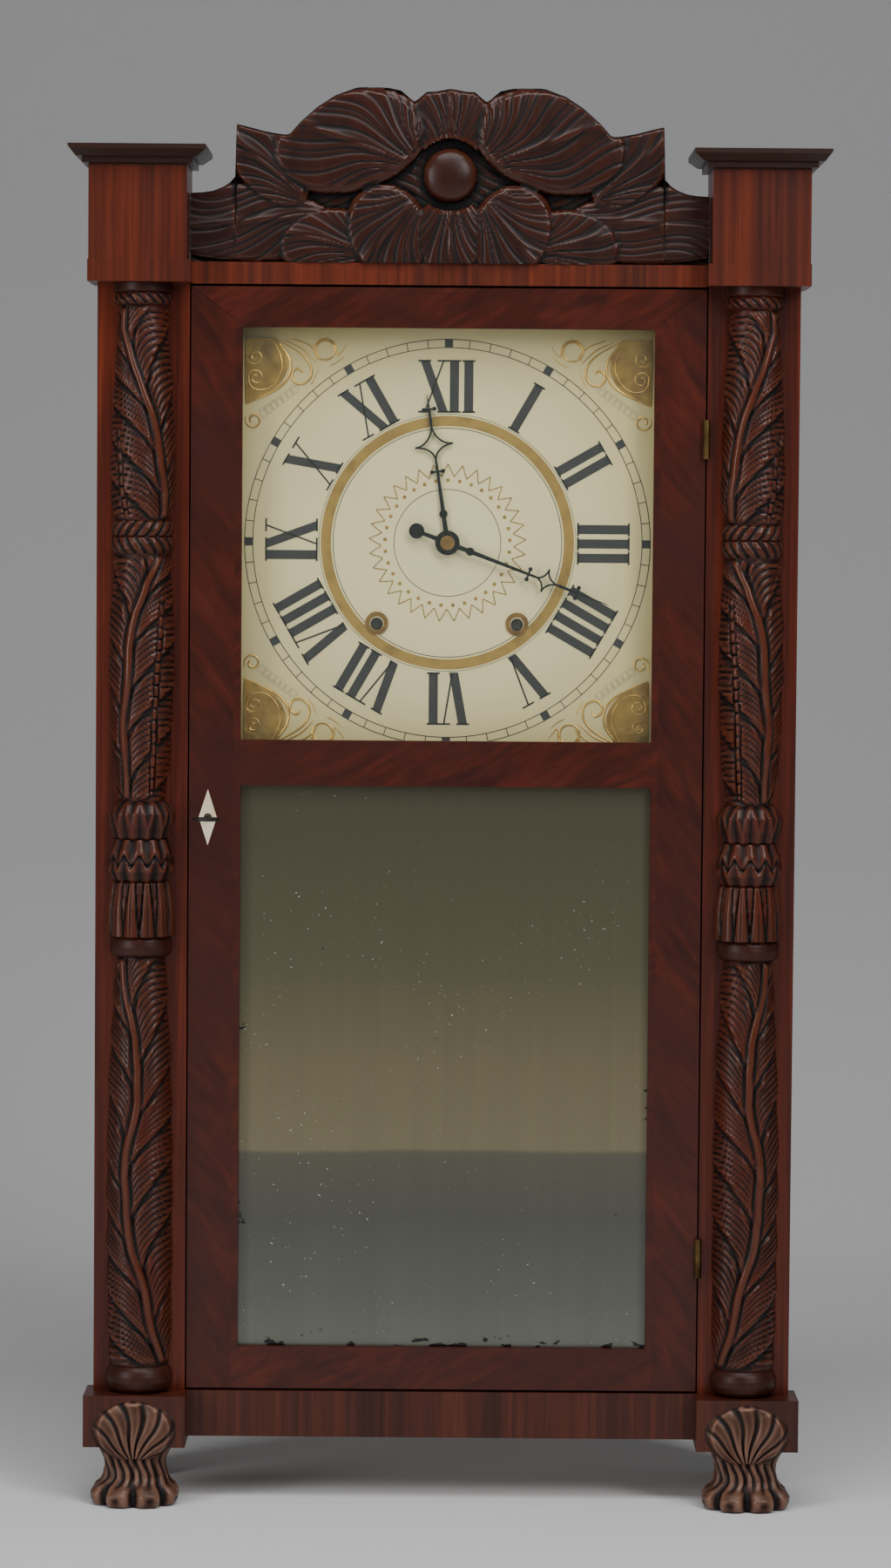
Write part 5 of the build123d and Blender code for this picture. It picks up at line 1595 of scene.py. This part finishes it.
@dataclass
class Studio:
    """The pale floor, its backdrop, the soft lights and the camera."""

    floor: float
    back: float = 0.9
    bend: float = 1.1
    air: float = 0.14
    camera_place: tuple[float, float, float] = (0, -3.131, 0.639)
    lens: float = 108.97
    tilt: float = 3.08
    roll: float = 0.45

    def ground(self) -> None:
        """Lays one pale sheet that sweeps up behind the clock in a wide curve."""
        clear()
        bpy.ops.mesh.primitive_grid_add(
            x_subdivisions=8, y_subdivisions=260, size=16, location=(0, 0, self.floor - 0.0005)
        )
        sheet = bpy.context.object
        for vertex in sheet.data.vertices:
            along = vertex.co.y - self.back
            turn = min(max(along / self.bend, 0.0), pi / 2)
            rise = max(along - self.bend * pi / 2, 0.0)
            if along > 0:
                vertex.co.y = self.back + self.bend * sin(turn)
                vertex.co.z = self.bend * (1 - cos(turn)) + rise
        sheet = settle(sheet, "studio_sweep")
        paint(sheet, PaperFinish().material())
        sheet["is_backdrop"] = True

    def lamp(
        self, name: str, place: tuple[float, float, float], aim: tuple[float, float, float], size: Point,
        power: float,
    ) -> None:
        """Hangs one softbox that faces its aim.

        Args:
            name: its name.
            place: where it hangs.
            aim: the point it faces.
            size: its width and height in metres.
            power: its power in watts.
        """
        clear()
        bpy.ops.object.light_add(type="AREA", location=place)
        lamp = bpy.context.object
        lamp.name = name
        lamp.data.shape = "RECTANGLE"
        lamp.data.size, lamp.data.size_y = size
        lamp.data.energy = power
        way = Vector(aim) - Vector(place)
        lamp.rotation_euler = way.to_track_quat("-Z", "Y").to_euler()

    def lights(self) -> None:
        """Sets the key from the upper right, the fill from the left and a top light."""
        self.lamp("key_softbox", (1.5, -2.1, 1.9), (0, 0, 0.5), (0.8, 1.2), 36)
        self.lamp("fill_softbox", (-1.9, -1.7, 1.0), (0, 0, 0.45), (0.7, 1.5), 26)
        self.lamp("top_softbox", (0.0, -1.1, 2.3), (0, -0.7, 0.0), (1.8, 0.9), 34)
        world = bpy.data.worlds.new("studio_air")
        bpy.context.scene.world = world
        world.use_nodes = True
        sockets = world.node_tree.nodes["Background"].inputs
        sockets["Color"].default_value = (0.8, 0.82, 0.85, 1.0)
        sockets["Strength"].default_value = self.air

    def camera(self) -> None:
        """Sets the camera a little above the clock's middle, three metres off."""
        clear()
        bpy.ops.object.camera_add(location=self.camera_place)
        camera = bpy.context.object
        camera.data.sensor_fit = "VERTICAL"
        camera.data.sensor_height = 36
        camera.data.lens = self.lens
        roll = Matrix.Rotation(radians(self.roll), 4, "Z")
        tilt = Matrix.Rotation(radians(90 - self.tilt), 4, "X")
        camera.matrix_world = Matrix.Translation(camera.location) @ tilt @ roll
        bpy.context.scene.camera = camera

    def build(self) -> None:
        """Sets up the whole studio."""
        self.ground()
        self.lights()
        self.camera()


@dataclass
class Clock:
    """The whole clock: its finishes, its carved pieces and the dressing of its plain ones."""

    frame: dict
    pulley_wrap: float = 0.01455
    time_layer: float = 0.01505
    strike_layer: float = 0.02855
    crest_front: float = -0.0335
    paw_middle: float = -0.0425
    block_front: float = -0.0605
    hour_face: float = -0.0166
    minute_face: float = -0.0191
    hand_plate: float = 0.0009
    fall_kept: float = 0.153
    finishes: dict[str, bpy.types.Material] = field(default_factory=dict)

    def mix_finishes(self) -> None:
        """Mixes every finish once."""
        door_low, door_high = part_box("door_glass")
        glass_low, glass_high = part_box("door_mirror")
        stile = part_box("door_stile_right")[1]
        wide, tall = stile[0] - door_high[0], stile[2] - door_high[2]
        dial_low, dial_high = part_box("dial_board")
        middle = (0.0, dial_low[1], (dial_low[2] + dial_high[2]) / 2)
        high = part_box("tower_left")[1]
        red = WoodFinish("red_mahogany", (52, 19, 10), (82, 32, 17), (106, 44, 23), roughness=(0.3, 0.46))
        kinds = (
            ("tower", WoodFinish(
                "bright_mahogany", (56, 22, 12), (80, 33, 18), (100, 43, 24), top=high[2] - 0.013
            )),
            ("rail", WoodFinish("bright_rail_mahogany", (60, 25, 13), (86, 36, 19), (106, 46, 26))),
            ("pilaster", red),
            ("base", WoodFinish(
                "base_mahogany", (50, 23, 15), (64, 30, 21), (82, 40, 26), roughness=(0.34, 0.5)
            )),
            ("side", WoodFinish("side_mahogany", (44, 19, 11), (70, 31, 19), (90, 42, 25))),
            ("dark", WoodFinish(
                "dark_turned_wood", (34, 19, 14), (58, 34, 26), (78, 48, 36), roughness=(0.34, 0.5)
            )),
            ("pale", WoodFinish(
                "bare_pale_wood", (98, 76, 48), (146, 118, 78), (176, 148, 104), roughness=(0.6, 0.75),
                coat=0.0,
            )),
            ("pale_level", WoodFinish(
                "bare_bottom_board", (98, 76, 48), (146, 118, 78), (176, 148, 104), Grain.LEVEL, (0.6, 0.75),
                0.0,
            )),
            ("cherry", WoodFinish(
                "cherry_wheels", (104, 56, 30), (150, 86, 48), (178, 112, 66), Grain.DEEP, (0.45, 0.6), 0.05
            )),
            ("drum", WoodFinish(
                "cherry_drums", (104, 56, 30), (150, 86, 48), (178, 112, 66), Grain.DEEP, (0.45, 0.6),
                front=0.021,
            )),
            ("carved", CarvedFinish()),
            ("crest", CarvedFinish("crest_mahogany", (12, 6, 5), (40, 20, 15), (64, 37, 28), (58, 24, 13))),
            # The feet's carving: painted highlight on the pale ridges with real rubbed wear, and painted shade in
            # the cuts.
            ("carved_foot", CarvedFinish("rubbed_carving", ridge=(124, 92, 76), body=(66, 42, 33), rub=0.3)),
            ("door", DoorVeneer(door_high[0], door_high[2], tall, wide)),
            ("dial", DialFinish(middle)),
            ("ink", PaintFinish("numeral_ink", (22, 19, 18), (34, 30, 28), 0.5, 60.0)),
            ("gold_paint", PaintFinish("gold_paint", (146, 117, 48), (118, 92, 34), 0.4, 90.0)),
            ("pencil", PaintFinish("grey_pencil", (128, 124, 104), (110, 106, 90), 0.6, 90.0)),
            ("gilt", MetalFinish("rubbed_gilding", (196, 158, 70), (142, 108, 44), (0.25, 0.42), 0.7)),
            ("brass", MetalFinish("old_brass", (186, 146, 78), (118, 86, 44))),
            ("hinge", MetalFinish("brown_hinge_brass", (104, 84, 54), (62, 48, 32), (0.4, 0.6))),
            ("steel", MetalFinish("blued_steel", (34, 34, 40), (18, 18, 20), (0.3, 0.45))),
            ("iron", MetalFinish("cast_iron", (74, 70, 68), (44, 40, 38), (0.5, 0.7), 0.8)),
            ("bell", MetalFinish("bell_bronze", (160, 130, 76), (96, 80, 50), (0.25, 0.45))),
            ("ivory", PaintFinish("yellowed_ivory", (226, 214, 182), (196, 178, 136), 0.3, 60.0)),
            ("mirror", MirrorFinish(glass_low[2], glass_high[2], glass_high[0])),
            ("glass", GlassFinish()),
            ("cord", CordFinish()),
        )
        for name, finish in kinds:
            self.finishes[name] = finish.material()

    def dress_nodes(self) -> None:
        """Gives every node its finish by its name or, failing that, its slot."""
        by_name = {
            "tower_left": "tower", "tower_right": "tower", "door_rail_top": "door", "door_rail_middle": "door",
            "door_rail_bottom": "door", "door_stile_left": "door", "door_stile_right": "door", "base_rail": "base",
            "top_board": "rail", "base_block_left": "base", "base_block_right": "base",
            "pilaster_left": "pilaster", "pilaster_right": "pilaster", "side_boards": "side", "rear_feet": "dark",
            "bottom_board": "pale_level", "time_drum": "drum", "strike_drum": "drum",
            "case_hinge_leaves": "hinge", "door_hinge_leaves": "hinge", "time_weight": "iron", "strike_weight": "iron", "key": "iron",
        }
        by_slot = {
            "mahogany": "side", "dark_carving": "carved", "pale_wood": "pale", "cherry": "cherry", "painted_dial": "dial",
            "glass": "glass", "mirror": "mirror", "brass": "brass", "iron": "iron", "blued_steel": "steel",
            "ivory": "ivory", "cord": "cord", "bell_metal": "bell",
        }
        slots = {part["node"]: part["material_slot"] for part in self.parts()}
        for name, node in self.frame["nodes"].items():
            paint(node, self.finishes[by_name.get(name, by_slot.get(slots.get(name, ""), "side"))])

    def parts(self) -> list[dict]:
        """The record's list of nodes, each with its name and slot."""
        return self.frame["record"]["subparts"]

    def carve(self) -> None:
        """Carves the crest, both columns and both feet."""
        low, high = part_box("splat")
        crest = Crest(low[2], self.crest_front, high[1], high[0] / MM)
        hand_over(crest.build(), "case", "dark_carving", self.finishes["crest"], "splat")
        for side in Side:
            name = f"half_column_{side.name.lower()}"
            low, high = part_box(name)
            column = Column(side, (low[0] + high[0]) / 2, high[1], low[2])
            hand_over(column.build(), "case", "dark_carving", self.finishes["carved"], name)
            name = f"paw_foot_{side.name.lower()}"
            low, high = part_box(name)
            centre = ((low[0] + high[0]) / 2, self.paw_middle)
            foot = PawFoot(side, centre, self.block_front, high[1])
            hand_over(foot.build(), "case", "dark_carving", self.finishes["carved_foot"], name)

    def set_hands(self) -> None:
        """Cuts both hands and their brass centre."""
        low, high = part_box("dial_board")
        middle = (low[2] + high[2]) / 2
        hour = Hand(
            "hour_hand", 351.7, 98, middle, self.hour_face, self.hand_plate, (54, 78, 12.5), (47, 88), 19
        )
        minute = Hand(
            "minute_hand", 110.7, 113, middle, self.minute_face, self.hand_plate, (62, 78, 8), (57, 91), 16, 21.6
        )
        for hand in (hour, minute):
            hand.build(self.finishes["steel"])
        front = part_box("minute_hand")[0][1]
        boss = thicken(ring((0, middle), front + 0.0001, 0, 4.7 * MM, 40), 0.0003)
        hand_over(settle(boss, "hand_washer"), "minute_hand", "brass", self.finishes["brass"])
        DialArt(middle, low[1] - 0.00003).build(self.finishes)

    def line_run(self, train: str, sign: int, layer: float) -> list[tuple[float, float, float]]:
        """The taut route of one line from its drum over its pulley, in metres.

        Args:
            train: the train's name.
            sign: 1 on the right and -1 on the left.
            layer: how far the line lies from its drum's axis, in metres.

        Returns:
            The route's points, from the drum to the top of the fall.
        """
        low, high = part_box(f"{train}_cord_run")
        drum_low, drum_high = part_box(f"{train}_great_wheel")
        fall_low, fall_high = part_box(f"{train}_cord_fall")
        y, wrap = (low[1] + high[1]) / 2, self.pulley_wrap
        drum_x, drum_z = abs(drum_low[0] + drum_high[0]) / 2, (drum_low[2] + drum_high[2]) / 2
        pulley_x, pulley_z = abs(fall_low[0] + fall_high[0]) / 2 - wrap, fall_high[2]
        away_x, away_z = pulley_x - drum_x, pulley_z - drum_z
        normal = atan2(away_z, away_x) - acos((layer + wrap) / hypot(away_x, away_z))
        route = [(sign * (drum_x + layer * cos(normal)), y, drum_z + layer * sin(normal))]
        for turn in np.linspace(normal + pi, 0, 14):
            route.append((sign * (pulley_x + wrap * cos(turn)), y, pulley_z + wrap * sin(turn)))
        return route

    def string_lines(self) -> None:
        """Twists the two weight lines: their runs over the pulleys, and their falls."""
        for train, sign, layer in (("time", 1, self.time_layer), ("strike", -1, self.strike_layer)):
            run = self.line_run(train, sign, layer)
            Rope(f"{train}_line_run", "case", f"{train}_cord_run", run).build(self.finishes["cord"])
            low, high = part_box(f"{train}_cord_fall")
            x, y = (low[0] + high[0]) / 2, (low[1] + high[1]) / 2
            route = [(x, y, low[2]), (x, y, high[2])]
            fall = Rope(
                f"{train}_line_fall", "case", f"{train}_cord_fall", route
            ).build(self.finishes["cord"])
            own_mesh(fall)

    def build(self) -> None:
        """Builds and dresses the whole clock."""
        self.mix_finishes()
        self.dress_nodes()
        self.carve()
        self.set_hands()
        self.string_lines()


def main() -> None:
    """Loads the frame, measures its box, builds the clock and sets up its studio with the floor at the box's foot.
    """
    logging.basicConfig(level=logging.INFO, format="%(name)s: %(message)s")
    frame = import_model()
    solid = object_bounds()
    Clock(frame).build()
    Studio(solid[0][2]).build()


if __name__ == "__main__":
    main()
